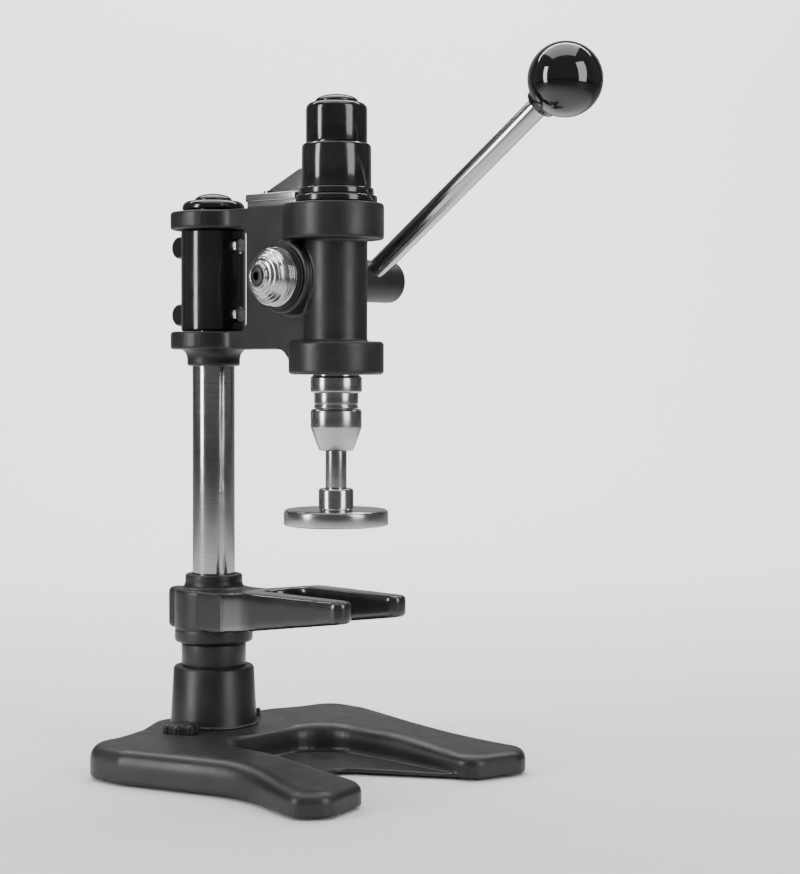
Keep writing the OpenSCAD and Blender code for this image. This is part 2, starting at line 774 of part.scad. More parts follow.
module chuck_ring() {
    color(steel) translate([reach, 0, chuck_top - chuck_ring_h]) rotate_extrude()
        polygon([[0, 0], [chuck_r - 0.6, 0], [chuck_r, 0.6], [chuck_r, chuck_ring_h - 0.6],
            [chuck_r - 0.6, chuck_ring_h], [0, chuck_ring_h]]);
}

module chuck_neck() {
    color(steel) translate([reach, 0, neck_bottom]) cylinder(r = chuck_neck_r, h = chuck_neck_h);
}

module collet() {
    color(dark_steel) translate([reach, 0, nut_bottom + 1]) difference() {
        cylinder(r = collet_r - run, h = nut_h - 1);
        translate([0, 0, -slack]) cylinder(r = shank_r, h = nut_h - 4 + slack);
        for (a = [0, 60, 120]) rotate(a) translate([-20, -0.4, -slack]) cube([40, 0.8, nut_h - 6]);
    }
}

module collet_nut() {
    color(steel) translate([reach, 0, nut_bottom]) difference() {
        rotate_extrude() polygon([[0, 0], [nut_nose_r - 0.6, 0], [nut_nose_r, 0.6],
            [nut_r, nut_h - nut_straight - gap], [nut_r, nut_h - gap - 1],
            [nut_r - 1, nut_h - gap], [0, nut_h - gap]]);
        translate([0, 0, 1]) cylinder(r = collet_r, h = nut_h);
        translate([0, 0, -slack]) cylinder(r = shank_r + run, h = nut_h);
    }
}

module tamper_shank() {
    color(steel) translate([reach, 0, tamper_top + 2])
        cylinder(r = shank_r, h = nut_bottom + nut_h - 3 - tamper_top - 2);
}

module tamper_base() {
    color(steel) translate([reach, 0, tamper_z]) difference() {
        rotate_extrude() polygon([[0, 0], [tamper_r - 0.4, 0], [tamper_r, 0.4], [tamper_r, tamper_t - 1],
            [tamper_r - 1, tamper_t], [tamper_boss_r, tamper_t],
            [tamper_boss_r, tamper_t + tamper_boss_h - 0.5],
            [tamper_boss_r - 0.5, tamper_t + tamper_boss_h], [0, tamper_t + tamper_boss_h]]);
        translate([0, 0, tamper_t + 2]) cylinder(r = shank_r, h = 20);
    }
}

// ---- Pinion shaft and lever ----

shaft_near = boss_y + 14;
shaft_far = lever_y + 14;

module pinion_shaft() {
    color(steel) along_y(shaft_x, shaft_z) difference() {
        rotate([90, 0, 0]) translate([0, 0, -shaft_far]) cylinder(r = shaft_r, h = shaft_far + shaft_near);
        rotate([90, 0, 0]) translate([0, 0, shaft_near - 12]) cylinder(r = 2.5, h = 20);
        translate([0, lever_y, 0]) rotate([0, 90 - lever_a, 0]) translate([0, 0, -1])
            cylinder(r = rod_r, h = 20);
    }
}

// Flank of an involute tooth: point at radius r on a base circle b
function involute(b, r) = let (t = sqrt(r * r / (b * b) - 1)) t * 180 / PI - atan(t);

module pinion_gear() {
    b = pinion_r * cos(20);
    root = pinion_r - 1.25 * gear_m;
    tooth_half = 90 / pinion_teeth - tooth_slack / 2 / pinion_r * 180 / PI + involute(b, pinion_r);
    radii = [for (i = [0 : 5]) max(b, root) + (pinion_tip_r - max(b, root)) * i / 5];
    flank = [for (r = radii) [r, tooth_half - involute(b, r)]];
    low = [for (i = [5 : -1 : 0]) flank[i]];
    teeth = [for (k = [0 : pinion_teeth - 1]) each concat(
        [[root, k * 360 / pinion_teeth - tooth_half - 0.6]],
        [for (f = flank) [f[0], k * 360 / pinion_teeth - f[1]]],
        [for (f = low) [f[0], k * 360 / pinion_teeth + f[1]]],
        [[root, k * 360 / pinion_teeth + tooth_half + 0.6]])];
    color(dark_steel) along_y(shaft_x, shaft_z) rotate([90, 0, 0])
        translate([0, 0, -pinion_w / 2]) difference() {
            linear_extrude(pinion_w) polygon([for (t = teeth) t[0] * [cos(t[1]), sin(t[1])]]);
            translate([0, 0, -slack]) cylinder(r = shaft_r, h = pinion_w + 2 * slack);
        }
}

hub_z = boss_y + gap;   // where the parts that turn with the shaft begin, on the near side

module shaft_rings() {
    color(rubber_black) along_y(shaft_x, shaft_z) for (i = [0, 1])
        turned_y([[shaft_r, hub_z + 1.5 * i], [17.8 - i, hub_z + 1.5 * i],
            [17.8 - i, hub_z + 1.5 * i + 1.2], [shaft_r, hub_z + 1.5 * i + (i == 0 ? 1.5 : 1.2)]]);
}

module turned_hub() {
    z = hub_z + 2.7;
    color(steel) along_y(shaft_x, shaft_z) difference() {
        turned_y([[0, z], [16.4, z], [16.4, z + 1.4], [15.5, z + 1.8], [15.5, z + 2.6], [16.2, z + 3],
            [16.2, z + 4], [15.3, z + 4.4], [15.3, z + 5.2], [15.8, z + 5.6], [11.9, z + 13],
            [11.3, z + 13.5], [7.2, z + 13.5], [7.2, z + 15.6], [0, z + 15.6]]);
        turned_y([[0, z - slack], [shaft_r, z - slack], [shaft_r, shaft_near], [0, shaft_near]]);
        turned_y([[0, shaft_near - slack], [2.5, shaft_near - slack], [2.5, z + 11], [5.1, z + 11],
            [5.1, z + 20], [0, z + 20]]);
    }
}

module hub_screw() {
    color(steel) along_y(shaft_x, shaft_z) rotate([90, 0, 0]) translate([0, 0, hub_z + 13.7])
        cap_screw(2.5, 4.9, 5, hub_z + 13.7 - shaft_near + 10);
}

module lever_hub() {
    color(black_cast) along_y(shaft_x, shaft_z) difference() {
        rotate([-90, 0, 0]) rotate_extrude() polygon(concat([[0, far_boss_y + gap],
            [hub_r, far_boss_y + gap]], [for (i = [0 : 5])
            [hub_r - 3 + 3 * cos(i * 18), lever_y + 20 + 3 * sin(i * 18)]], [[0, lever_y + 23]]));
        rotate([-90, 0, 0]) cylinder(r = shaft_r, h = shaft_far);
        translate([0, lever_y, 0]) rotate([0, 90 - lever_a, 0]) cylinder(r = rod_r, h = 20);
        translate([0, lever_y, 0]) rotate([0, -90 - lever_a, 0]) cylinder(r = 3, h = 20);
    }
}

module hub_grub_screw() {
    color(dark_steel) along_y(shaft_x, shaft_z) translate([0, lever_y, 0]) rotate([0, -90 - lever_a, 0])
        translate([0, 0, shaft_r]) difference() {
            cylinder(r = 3, h = hub_r - shaft_r - 0.8);
            translate([0, 0, 2]) hex_socket(3, 5);
        }
}

module lever_rod() {
    color(steel) along_y(shaft_x, shaft_z) translate([0, lever_y, 0]) rotate([0, 90 - lever_a, 0])
        cylinder(r = rod_r, h = lever_l - ball_r * 0.4);
}

module ball_knob() {
    color(black_gloss) along_y(shaft_x, shaft_z) translate([0, lever_y, 0]) rotate([0, 90 - lever_a, 0])
        translate([0, 0, lever_l]) difference() {
            union() {
                sphere(r = ball_r);
                translate([0, 0, -ball_r - 1]) cylinder(r = rod_r + 3.4, h = ball_r * 0.6);
            }
            translate([0, 0, -ball_r - 5]) cylinder(r = rod_r, h = ball_r * 0.6 + 5);
        }
}

base_casting();
rubber_feet();
column_socket();
neck_collar();
column();
column_lock_screw();
column_cap();
cap_button();
locating_stud();
base_knob();
knob_stud();
fork_casting();
fork_coat();
fork_clamp_screw();
clamp_sleeve();
sleeve_rear_screws();
sleeve_lock_screws();
head_casting();
quill_bush_lower();
quill_bush_upper();
pinion_bush_near();
pinion_bush_far();
boss_cover();
lock_ring_lower();
lock_ring_upper();
spring_case();
return_spring();
bracket_base();
bracket_plate();
bracket_gusset();
bracket_screw();
adjusting_cap();
adjusting_cap_button();
quill();
quill_nut();
chuck_ring();
chuck_neck();
collet();
tamper_shank();
tamper_base();
collet_nut();
pinion_shaft();
pinion_gear();
shaft_rings();
turned_hub();
hub_screw();
lever_hub();
hub_grub_screw();
lever_rod();
ball_knob();
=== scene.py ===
"""Looks of a lever-operated tamping press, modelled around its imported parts, in metres."""

import json
import math

import bpy
from mathutils import Matrix, Vector


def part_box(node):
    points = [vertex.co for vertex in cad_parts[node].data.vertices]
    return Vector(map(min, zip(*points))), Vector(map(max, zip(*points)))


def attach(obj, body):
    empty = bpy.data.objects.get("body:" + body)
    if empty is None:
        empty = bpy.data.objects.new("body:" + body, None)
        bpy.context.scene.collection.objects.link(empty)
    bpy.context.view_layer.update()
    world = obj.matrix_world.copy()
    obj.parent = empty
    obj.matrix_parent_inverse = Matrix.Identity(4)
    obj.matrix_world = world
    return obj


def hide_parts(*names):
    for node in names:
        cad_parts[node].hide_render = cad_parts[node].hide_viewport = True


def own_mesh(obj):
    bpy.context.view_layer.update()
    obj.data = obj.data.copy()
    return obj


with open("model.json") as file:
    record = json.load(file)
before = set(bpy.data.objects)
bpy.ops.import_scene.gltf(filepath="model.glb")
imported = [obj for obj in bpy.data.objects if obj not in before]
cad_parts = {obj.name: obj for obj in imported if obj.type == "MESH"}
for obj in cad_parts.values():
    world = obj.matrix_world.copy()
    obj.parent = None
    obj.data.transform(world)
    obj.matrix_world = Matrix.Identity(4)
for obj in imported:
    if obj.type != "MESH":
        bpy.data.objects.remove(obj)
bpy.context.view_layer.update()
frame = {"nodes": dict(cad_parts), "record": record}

MM = 0.001
TURN_STEPS = 96          # straight pieces in a turned part
LENS = 82.38             # focal length in millimetres on a 36 mm sensor
CAMERA_PITCH = 2.0618    # how far the camera looks down, in degrees
CAMERA_UP = 0.230        # camera height above the bench
CAMERA_AZIMUTH = 43.0
CAMERA_BACK = 1.177      # distance from the column, along the view
CAMERA_SIDE = 0.1097     # how far the camera stands to the right of the column
CAMERA_ROLL = 0.15


# ---------------------------------------------------------------- camera, light and stage

def add_camera():
    azimuth, pitch = math.radians(CAMERA_AZIMUTH), math.radians(CAMERA_PITCH)
    level = Vector((-math.sin(azimuth), math.cos(azimuth), 0))
    right = Vector((math.cos(azimuth), math.sin(azimuth), 0))
    view = level * math.cos(pitch) - Vector((0, 0, math.sin(pitch)))
    up = right.cross(view)
    place = Vector((0, 0, CAMERA_UP)) - level * CAMERA_BACK + right * CAMERA_SIDE
    data = bpy.data.cameras.new("camera")
    data.sensor_width = 36
    data.lens = LENS
    camera = bpy.data.objects.new("camera", data)
    bpy.context.scene.collection.objects.link(camera)
    turn = Matrix((right, up, -view)).transposed().to_4x4()
    camera.matrix_world = (Matrix.Translation(place) @ turn
                           @ Matrix.Rotation(math.radians(CAMERA_ROLL), 4, "Z"))
    bpy.context.scene.camera = camera


def add_light(name, place, aim, size, power):
    data = bpy.data.lights.new(name, "AREA")
    data.shape = "RECTANGLE"
    data.size, data.size_y = size
    data.energy = power
    lamp = bpy.data.objects.new(name, data)
    bpy.context.scene.collection.objects.link(lamp)
    lamp.location = place
    lamp.rotation_euler = (Vector(aim) - Vector(place)).to_track_quat("-Z", "Y").to_euler()


def seen(across, away, up):
    """A place given from the camera's side: metres to its right, beyond the press, and above the bench."""
    azimuth = math.radians(CAMERA_AZIMUTH)
    return (across * math.cos(azimuth) - away * math.sin(azimuth),
            across * math.sin(azimuth) + away * math.cos(azimuth), up)


def add_lights():
    world = bpy.data.worlds.new("studio")
    world.use_nodes = True
    background = world.node_tree.nodes["Background"]
    background.inputs["Color"].default_value = (1, 1, 1, 1)
    background.inputs["Strength"].default_value = 0.16
    bpy.context.scene.world = world
    middle = seen(0, 0, 0.22)
    add_light("left softbox", seen(-1.35, -0.75, 0.62), middle, (0.34, 1.2), 20)
    add_light("right softbox", seen(1.15, -0.95, 0.72), middle, (0.62, 1.3), 15)
    add_light("overhead", seen(0.0, 0.1, 1.75), middle, (1.6, 1.6), 20)
    add_light("backdrop wash", seen(0, 1.0, 1.9), seen(0, 2.3, 0.6), (3.2, 0.8), 130)


def add_stage():
    """A pale floor that curves up into a backdrop."""
    depth, width, bend, height = 2.4, 9.0, 0.8, 3.4
    points = [(-5.0, 0.0), (depth - bend, 0.0)]
    points += [(depth - bend + bend * math.sin(math.radians(a)), bend - bend * math.cos(math.radians(a)))
               for a in range(10, 90, 10)]
    points += [(depth, bend), (depth, height)]
    obj = thread("stage", [seen(-width / 2, away, up) for away, up in points])
    bpy.ops.mesh.select_all(action="SELECT")
    bpy.ops.mesh.extrude_edges_move(TRANSFORM_OT_translate={"value": Vector(seen(width, 0, 0))})
    bpy.ops.object.mode_set(mode="OBJECT")
    only(obj)
    bpy.ops.object.shade_smooth()
    material, nodes, links, shader = new_material("stage")
    links.new(stage_colour(nodes, links), shader.inputs["Base Color"])
    shader.inputs["Roughness"].default_value = 0.75
    dress(obj, material)


def stage_colour(nodes, links):
    """Pale with a faint cloud; away from the press it is painted dark grey for glossy rays only, a painted
    dark reflection in place of a dark studio.
    """
    vector = place_of(nodes, links)
    length = nodes.new("ShaderNodeVectorMath")
    length.operation = "LENGTH"
    links.new(vector, length.inputs[0])
    distant = range_node(nodes, links, length.outputs["Value"], 0.35, 1.0, 0.0, 1.0)
    path = nodes.new("ShaderNodeLightPath")
    # painted reflection shade: in reflections the far stage is painted dark grey
    painted_reflection_shade = math_node(nodes, links, "MULTIPLY", distant, path.outputs["Is Glossy Ray"], clamp=True)
    cloud = noise_node(nodes, links, vector, 3.0)
    pale = mix_colours(nodes, links, cloud, (0.79, 0.79, 0.80), (0.82, 0.82, 0.83))
    return mix_colours(nodes, links, painted_reflection_shade, pale, (0.10, 0.10, 0.10))


# ---------------------------------------------------------------- modelling by hand

def clear():
    if bpy.context.mode != "OBJECT":
        bpy.ops.object.mode_set(mode="OBJECT")
    bpy.ops.object.select_all(action="DESELECT")


def only(obj):
    clear()
    obj.select_set(True)
    bpy.context.view_layer.objects.active = obj


def thread(name, points):
    """One vertex extruded from point to point, left in edit mode with its end selected."""
    clear()
    bpy.ops.mesh.primitive_plane_add(size=MM)
    obj = bpy.context.object
    obj.name = name
    bpy.ops.object.mode_set(mode="EDIT")
    bpy.ops.mesh.select_mode(type="VERT")
    bpy.ops.mesh.merge(type="CENTER")
    bpy.ops.transform.translate(value=Vector(points[0]))
    for a, b in zip(points, points[1:]):
        bpy.ops.mesh.extrude_vertices_move(TRANSFORM_OT_translate={"value": Vector(b) - Vector(a)})
    return obj


def settle(obj):
    """Closes seams and poles, and turns the faces outwards."""
    bpy.ops.mesh.select_all(action="SELECT")
    bpy.ops.mesh.remove_doubles(threshold=0.002 * MM)
    bpy.ops.mesh.normals_make_consistent(inside=False)
    bpy.ops.object.mode_set(mode="OBJECT")
    return obj


def turned(name, profile, at=(0, 0, 0), along=(0, 0, 1), edge=0.35 * MM, rounds=3, steps=TURN_STEPS):
    """A turned part: its half profile, as (radius, height) in millimetres, is spun about a line."""
    obj = thread(name, [(r * MM, 0, h * MM) for r, h in profile])
    bpy.ops.mesh.select_all(action="SELECT")
    bpy.ops.mesh.spin(steps=steps, angle=math.tau, center=(0, 0, 0), axis=(0, 0, 1), use_auto_merge=True)
    settle(obj)
    soften(obj, edge, rounds)
    move(obj, at, along)
    return obj


def move(obj, at=(0, 0, 0), along=(0, 0, 1)):
    """Turns a piece's own Z to a direction, puts it in place and applies both."""
    obj.rotation_euler = Vector(along).to_track_quat("Z", "Y").to_euler()
    obj.location = at
    only(obj)
    bpy.ops.object.transform_apply(location=True, rotation=True, scale=True)
    return obj


def apply(obj, kind, name, **values):
    modifier = obj.modifiers.new(name, kind)
    for key, value in values.items():
        setattr(modifier, key, value)
    only(obj)
    bpy.ops.object.modifier_apply(modifier=name)
    return obj


def soften(obj, width, rounds=3, angle=28):
    if width > 0:
        apply(obj, "BEVEL", "soft edges", width=width, segments=rounds, limit_method="ANGLE",
              angle_limit=math.radians(angle), miter_outer="MITER_ARC")
    return obj


def carve(obj, tool, operation="DIFFERENCE"):
    apply(obj, "BOOLEAN", "cut", operation=operation, solver="EXACT", object=tool)
    bpy.data.objects.remove(tool, do_unlink=True)
    return obj


def smooth(obj, angle=32):
    only(obj)
    bpy.ops.object.shade_smooth_by_angle(angle=math.radians(angle))
    return obj


def rounded(corners, steps=8):
    """Outline through corners (x, y, radius), each one drawn as an arc."""
    points = []
    count = len(corners)
    for i, (x, y, radius) in enumerate(corners):
        here = Vector((x, y))
        back = (Vector(corners[i - 1][:2]) - here).normalized()
        ahead = (Vector(corners[(i + 1) % count][:2]) - here).normalized()
        half = math.acos(max(-1, min(1, back.dot(ahead)))) / 2
        centre = here + (back + ahead).normalized() * radius / math.sin(half)
        first = here + back * radius / math.tan(half) - centre
        last = here + ahead * radius / math.tan(half) - centre
        sweep = first.angle_signed(last)
        for k in range(steps + 1):
            turn = Matrix.Rotation(-sweep * k / steps, 2)
            points.append(centre + turn @ first)
    return points


def plate(name, outline, low, high, upright=False):
    """A flat piece: an outline in millimetres is drawn, filled and extruded from low to high."""
    obj = thread(name, [(p[0] * MM, p[1] * MM, low * MM) for p in outline])
    bpy.ops.mesh.select_all(action="SELECT")
    bpy.ops.mesh.edge_face_add()
    bpy.ops.mesh.extrude_region_move(TRANSFORM_OT_translate={"value": (0, 0, (high - low) * MM)})
    settle(obj)
    if upright:
        obj.rotation_euler = (math.radians(90), 0, 0)
        only(obj)
        bpy.ops.object.transform_apply(location=True, rotation=True, scale=True)
    return obj


def block(name, low, high, edge=0.5 * MM, rounds=3):
    """A bevelled block between two corners in millimetres."""
    clear()
    bpy.ops.mesh.primitive_cube_add(size=1)
    obj = bpy.context.object
    obj.name = name
    obj.scale = (Vector(high) - Vector(low)) * MM
    obj.location = (Vector(low) + Vector(high)) / 2 * MM
    bpy.ops.object.transform_apply(location=True, rotation=True, scale=True)
    return soften(obj, edge, rounds)


def cast(obj, others, grain, relax, strength=0.5):
    """Joins overlapping solids into one skin, as in a casting, and rounds all its edges."""
    clear()
    for part in [obj] + others:
        part.select_set(True)
    bpy.context.view_layer.objects.active = obj
    if others:
        bpy.ops.object.join()
    apply(obj, "REMESH", "one skin", mode="VOXEL", voxel_size=grain, adaptivity=0)
    apply(obj, "SMOOTH", "cast edges", factor=strength, iterations=relax)
    only(obj)
    bpy.ops.object.shade_smooth()
    return obj


def dress(obj, material):
    obj.data.materials.clear()
    obj.data.materials.append(material)


def fit(obj, nodes, body, material, angle=32, flat=True):
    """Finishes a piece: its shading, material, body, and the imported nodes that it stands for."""
    obj.name = obj.name.replace(" ", "_") + "_piece"
    if flat:
        smooth(obj, angle)
    dress(obj, material)
    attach(obj, body)
    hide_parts(*([nodes] if isinstance(nodes, str) else nodes))
    return obj


def join(obj, others):
    clear()
    for part in [obj] + others:
        part.select_set(True)
    bpy.context.view_layer.objects.active = obj
    bpy.ops.object.join()
    return obj


def dome(radius, height, low, steps=10):
    """Half profile of a shallow dome, from its rim up to its pole."""
    return [(radius * math.cos(a), low + height * math.sin(a))
            for a in (math.radians(90 * k / steps) for k in range(steps + 1))][:-1] + [(0, low + height)]


def box_mm(node):
    """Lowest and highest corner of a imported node, in millimetres."""
    low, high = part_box(node)
    return low / MM, high / MM


def sizes(node):
    """Middle, radius across X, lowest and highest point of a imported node."""
    low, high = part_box(node)
    return (low + high) / 2, (high.x - low.x) / 2, low.z, high.z


def sizes_mm(node):
    """The same in millimetres."""
    return [value / MM for value in sizes(node)]


# ---------------------------------------------------------------- materials

def new_material(name):
    material = bpy.data.materials.new(name)
    material.use_nodes = True
    tree = material.node_tree
    return material, tree.nodes, tree.links, tree.nodes["Principled BSDF"]


def new_group(name, inputs, outputs):
    group = bpy.data.node_groups.new(name, "ShaderNodeTree")
    for label, kind, value in inputs:
        socket = group.interface.new_socket(name=label, in_out="INPUT", socket_type="NodeSocket" + kind)
        if value is not None:
            socket.default_value = value
    for label, kind in outputs:
        group.interface.new_socket(name=label, in_out="OUTPUT", socket_type="NodeSocket" + kind)
    return group, group.nodes.new("NodeGroupInput"), group.nodes.new("NodeGroupOutput")


def math_node(nodes, links, operation, *values, clamp=False):
    node = nodes.new("ShaderNodeMath")
    node.operation = operation
    node.use_clamp = clamp
    for socket, value in zip(node.inputs, values):
        if isinstance(value, (int, float)):
            socket.default_value = value
        else:
            links.new(value, socket)
    return node.outputs[0]


def range_node(nodes, links, value, low, high, to_low, to_high):
    node = nodes.new("ShaderNodeMapRange")
    node.inputs["From Min"].default_value = low
    node.inputs["From Max"].default_value = high
    links.new(value, node.inputs["Value"])
    for name, number in (("To Min", to_low), ("To Max", to_high)):
        if isinstance(number, (int, float)):
            node.inputs[name].default_value = number
        else:
            links.new(number, node.inputs[name])
    return node.outputs["Result"]


def noise_node(nodes, links, vector, scale, detail=4.0, roughness=0.55):
    node = nodes.new("ShaderNodeTexNoise")
    node.inputs["Detail"].default_value = detail
    node.inputs["Roughness"].default_value = roughness
    links.new(vector, node.inputs["Vector"])
    if isinstance(scale, (int, float)):
        node.inputs["Scale"].default_value = scale
    else:
        links.new(scale, node.inputs["Scale"])
    return node.outputs["Fac"]


def bump_node(nodes, links, height, strength, distance):
    node = nodes.new("ShaderNodeBump")
    node.inputs["Distance"].default_value = distance
    links.new(height, node.inputs["Height"])
    if isinstance(strength, (int, float)):
        node.inputs["Strength"].default_value = strength
    else:
        links.new(strength, node.inputs["Strength"])
    return node.outputs["Normal"]


def make_mottle():
    """Uneven value from low to high, as in the sheen of a painted or handled surface."""
    group, given, out = new_group("mottle", [("Vector", "Vector", None), ("Scale", "Float", 40.0),
                                             ("Low", "Float", 0.3), ("High", "Float", 0.5)],
                                  [("Value", "Float")])
    nodes, links = group.nodes, group.links
    large = noise_node(nodes, links, given.outputs["Vector"], given.outputs["Scale"])
    links.new(range_node(nodes, links, large, 0.3, 0.7, given.outputs["Low"], given.outputs["High"]),
              out.inputs["Value"])
    return group


def make_skin():
    """Fine pebbled skin of powder coat or cast paint."""
    group, given, out = new_group("paint skin", [("Vector", "Vector", None), ("Scale", "Float", 900.0),
                                                 ("Strength", "Float", 0.1)], [("Normal", "Vector")])
    nodes, links = group.nodes, group.links
    fine = noise_node(nodes, links, given.outputs["Vector"], given.outputs["Scale"], 3.0)
    links.new(bump_node(nodes, links, fine, given.outputs["Strength"], 0.15 * MM), out.inputs["Normal"])
    return group


def make_wear():
    """Mask of the outer edges, where paint or polish is rubbed."""
    group, given, out = new_group("edge wear", [("Vector", "Vector", None), ("From", "Float", 0.53),
                                                ("To", "Float", 0.62)], [("Mask", "Float")])
    nodes, links = group.nodes, group.links
    geometry = nodes.new("ShaderNodeNewGeometry")
    patch = noise_node(nodes, links, given.outputs["Vector"], 220.0, 5.0, 0.65)
    node = nodes.new("ShaderNodeMapRange")
    links.new(geometry.outputs["Pointiness"], node.inputs["Value"])
    links.new(given.outputs["From"], node.inputs["From Min"])
    links.new(given.outputs["To"], node.inputs["From Max"])
    broken = range_node(nodes, links, patch, 0.42, 0.62, 0.0, 1.0)
    links.new(math_node(nodes, links, "MULTIPLY", node.outputs["Result"], broken, clamp=True),
              out.inputs["Mask"])
    return group


def make_dust():
    """Mask of the faint dust that lies on what faces up."""
    group, given, out = new_group("dust", [("Vector", "Vector", None), ("Amount", "Float", 0.3)],
                                  [("Mask", "Float")])
    nodes, links = group.nodes, group.links
    geometry = nodes.new("ShaderNodeNewGeometry")
    split = nodes.new("ShaderNodeSeparateXYZ")
    links.new(geometry.outputs["Normal"], split.inputs[0])
    up = range_node(nodes, links, split.outputs["Z"], 0.55, 1.0, 0.0, 1.0)
    specks = noise_node(nodes, links, given.outputs["Vector"], 1400.0, 2.0, 0.7)
    cloud = noise_node(nodes, links, given.outputs["Vector"], 55.0, 3.0)
    mixed = math_node(nodes, links, "MULTIPLY", range_node(nodes, links, specks, 0.5, 0.75, 0.0, 1.0),
                      cloud)
    shown = math_node(nodes, links, "MULTIPLY", mixed, up)
    links.new(math_node(nodes, links, "MULTIPLY", shown, given.outputs["Amount"], clamp=True),
              out.inputs["Mask"])
    return group


def make_rings():
    """Fine tool rings of a turned surface: they depend only on the radius and the height on the axis."""
    group, given, out = new_group("tool rings", [("Vector", "Vector", None), ("Fineness", "Float", 5000.0),
                                                 ("Strength", "Float", 0.1)],
                                  [("Value", "Float"), ("Normal", "Vector")])
    nodes, links = group.nodes, group.links
    split = nodes.new("ShaderNodeSeparateXYZ")
    links.new(given.outputs["Vector"], split.inputs[0])
    square = [math_node(nodes, links, "MULTIPLY", split.outputs[k], split.outputs[k]) for k in ("X", "Y")]
    radius = math_node(nodes, links, "SQRT", math_node(nodes, links, "ADD", *square))
    join = nodes.new("ShaderNodeCombineXYZ")
    links.new(radius, join.inputs["X"])
    links.new(split.outputs["Z"], join.inputs["Y"])
    lines = noise_node(nodes, links, join.outputs[0], given.outputs["Fineness"], 2.0, 0.6)
    links.new(lines, out.inputs["Value"])
    links.new(bump_node(nodes, links, lines, given.outputs["Strength"], 0.03 * MM), out.inputs["Normal"])
    return group


GROUPS = {"mottle": make_mottle(), "skin": make_skin(), "wear": make_wear(), "dust": make_dust(),
          "rings": make_rings()}


def use(nodes, links, group, vector, **values):
    node = nodes.new("ShaderNodeGroup")
    node.node_tree = GROUPS[group]
    links.new(vector, node.inputs["Vector"])
    for name, value in values.items():
        node.inputs[name].default_value = value
    return node


def place_of(nodes, links, centre=(0, 0, 0), turn=(0, 0, 0)):
    """Object coordinates, moved so that a pattern's own axis stands at a point."""
    coordinates = nodes.new("ShaderNodeTexCoord")
    mapping = nodes.new("ShaderNodeMapping")
    mapping.vector_type = "TEXTURE"
    mapping.inputs["Location"].default_value = centre
    mapping.inputs["Rotation"].default_value = turn
    links.new(coordinates.outputs["Object"], mapping.inputs["Vector"])
    return mapping.outputs["Vector"]


def mix_colours(nodes, links, mask, first, second):
    node = nodes.new("ShaderNodeMix")
    node.data_type = "RGBA"
    links.new(mask, node.inputs["Factor"])
    for socket, colour in ((node.inputs["A"], first), (node.inputs["B"], second)):
        if isinstance(colour, tuple):
            socket.default_value = colour + (1,)
        else:
            links.new(colour, socket)
    return node.outputs["Result"]


def painted(name, colour, low, high, coat=0.0, grain=900.0, strength=0.1, dusty=0.14,
            worn=(0.07, 0.07, 0.07), glint=0.5):
    """Black paint or plastic with uneven sheen, a fine skin, rubbed edges and a little dust."""
    material, nodes, links, shader = new_material(name)
    vector = place_of(nodes, links)
    wear = use(nodes, links, "wear", vector)
    dust = use(nodes, links, "dust", vector, Amount=dusty)
    tint = use(nodes, links, "mottle", vector, Scale=30.0, Low=0.0, High=1.0)
    light = tuple(min(1.0, c * 1.7 + 0.004) for c in colour)
    base = mix_colours(nodes, links, tint.outputs["Value"], colour, light)
    base = mix_colours(nodes, links, wear.outputs["Mask"], base, worn)
    base = mix_colours(nodes, links, dust.outputs["Mask"], base, (0.30, 0.30, 0.29))
    links.new(base, shader.inputs["Base Color"])
    sheen = use(nodes, links, "mottle", vector, Scale=65.0, Low=low, High=high)
    rough = math_node(nodes, links, "ADD", sheen.outputs["Value"],
                      math_node(nodes, links, "MULTIPLY", dust.outputs["Mask"], 0.5), clamp=True)
    links.new(rough, shader.inputs["Roughness"])
    skin = use(nodes, links, "skin", vector, Scale=grain, Strength=strength)
    links.new(skin.outputs["Normal"], shader.inputs["Normal"])
    shader.inputs["Specular IOR Level"].default_value = glint
    shader.inputs["Coat Weight"].default_value = coat
    shader.inputs["Coat Roughness"].default_value = 0.06
    return material


def metal(name, colour, low, high, centre=(0, 0, 0), turn=(0, 0, 0), fineness=5000.0, strength=0.12,
          dark=0.75):
    """Turned or polished steel, with fine tool rings about an axis and smudges."""
    material, nodes, links, shader = new_material(name)
    vector = place_of(nodes, links, centre, turn)
    rings = use(nodes, links, "rings", vector, Fineness=fineness, Strength=strength)
    smudge = use(nodes, links, "mottle", vector, Scale=45.0, Low=0.0, High=1.0)
    shade = tuple(c * dark for c in colour)
    lines = range_node(nodes, links, rings.outputs["Value"], 0.3, 0.7, 0.0, 1.0)
    links.new(mix_colours(nodes, links, lines, shade, colour), shader.inputs["Base Color"])
    wide = range_node(nodes, links, smudge.outputs["Value"], 0.0, 1.0, low, high)
    fine = math_node(nodes, links, "MULTIPLY", rings.outputs["Value"], 0.08)
    links.new(math_node(nodes, links, "ADD", wide, fine, clamp=True), shader.inputs["Roughness"])
    links.new(rings.outputs["Normal"], shader.inputs["Normal"])
    shader.inputs["Metallic"].default_value = 1.0
    return material


# ---------------------------------------------------------------- the press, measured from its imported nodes

QUILL_X = sizes("tamper_base")[0].x
SHAFT_X, SHAFT_Z = sizes("boss_cover")[0].x, sizes("boss_cover")[0].z
NEAR, FAR = (0, -1, 0), (0, 1, 0)
SIDEWAYS = (math.radians(90), 0, 0)

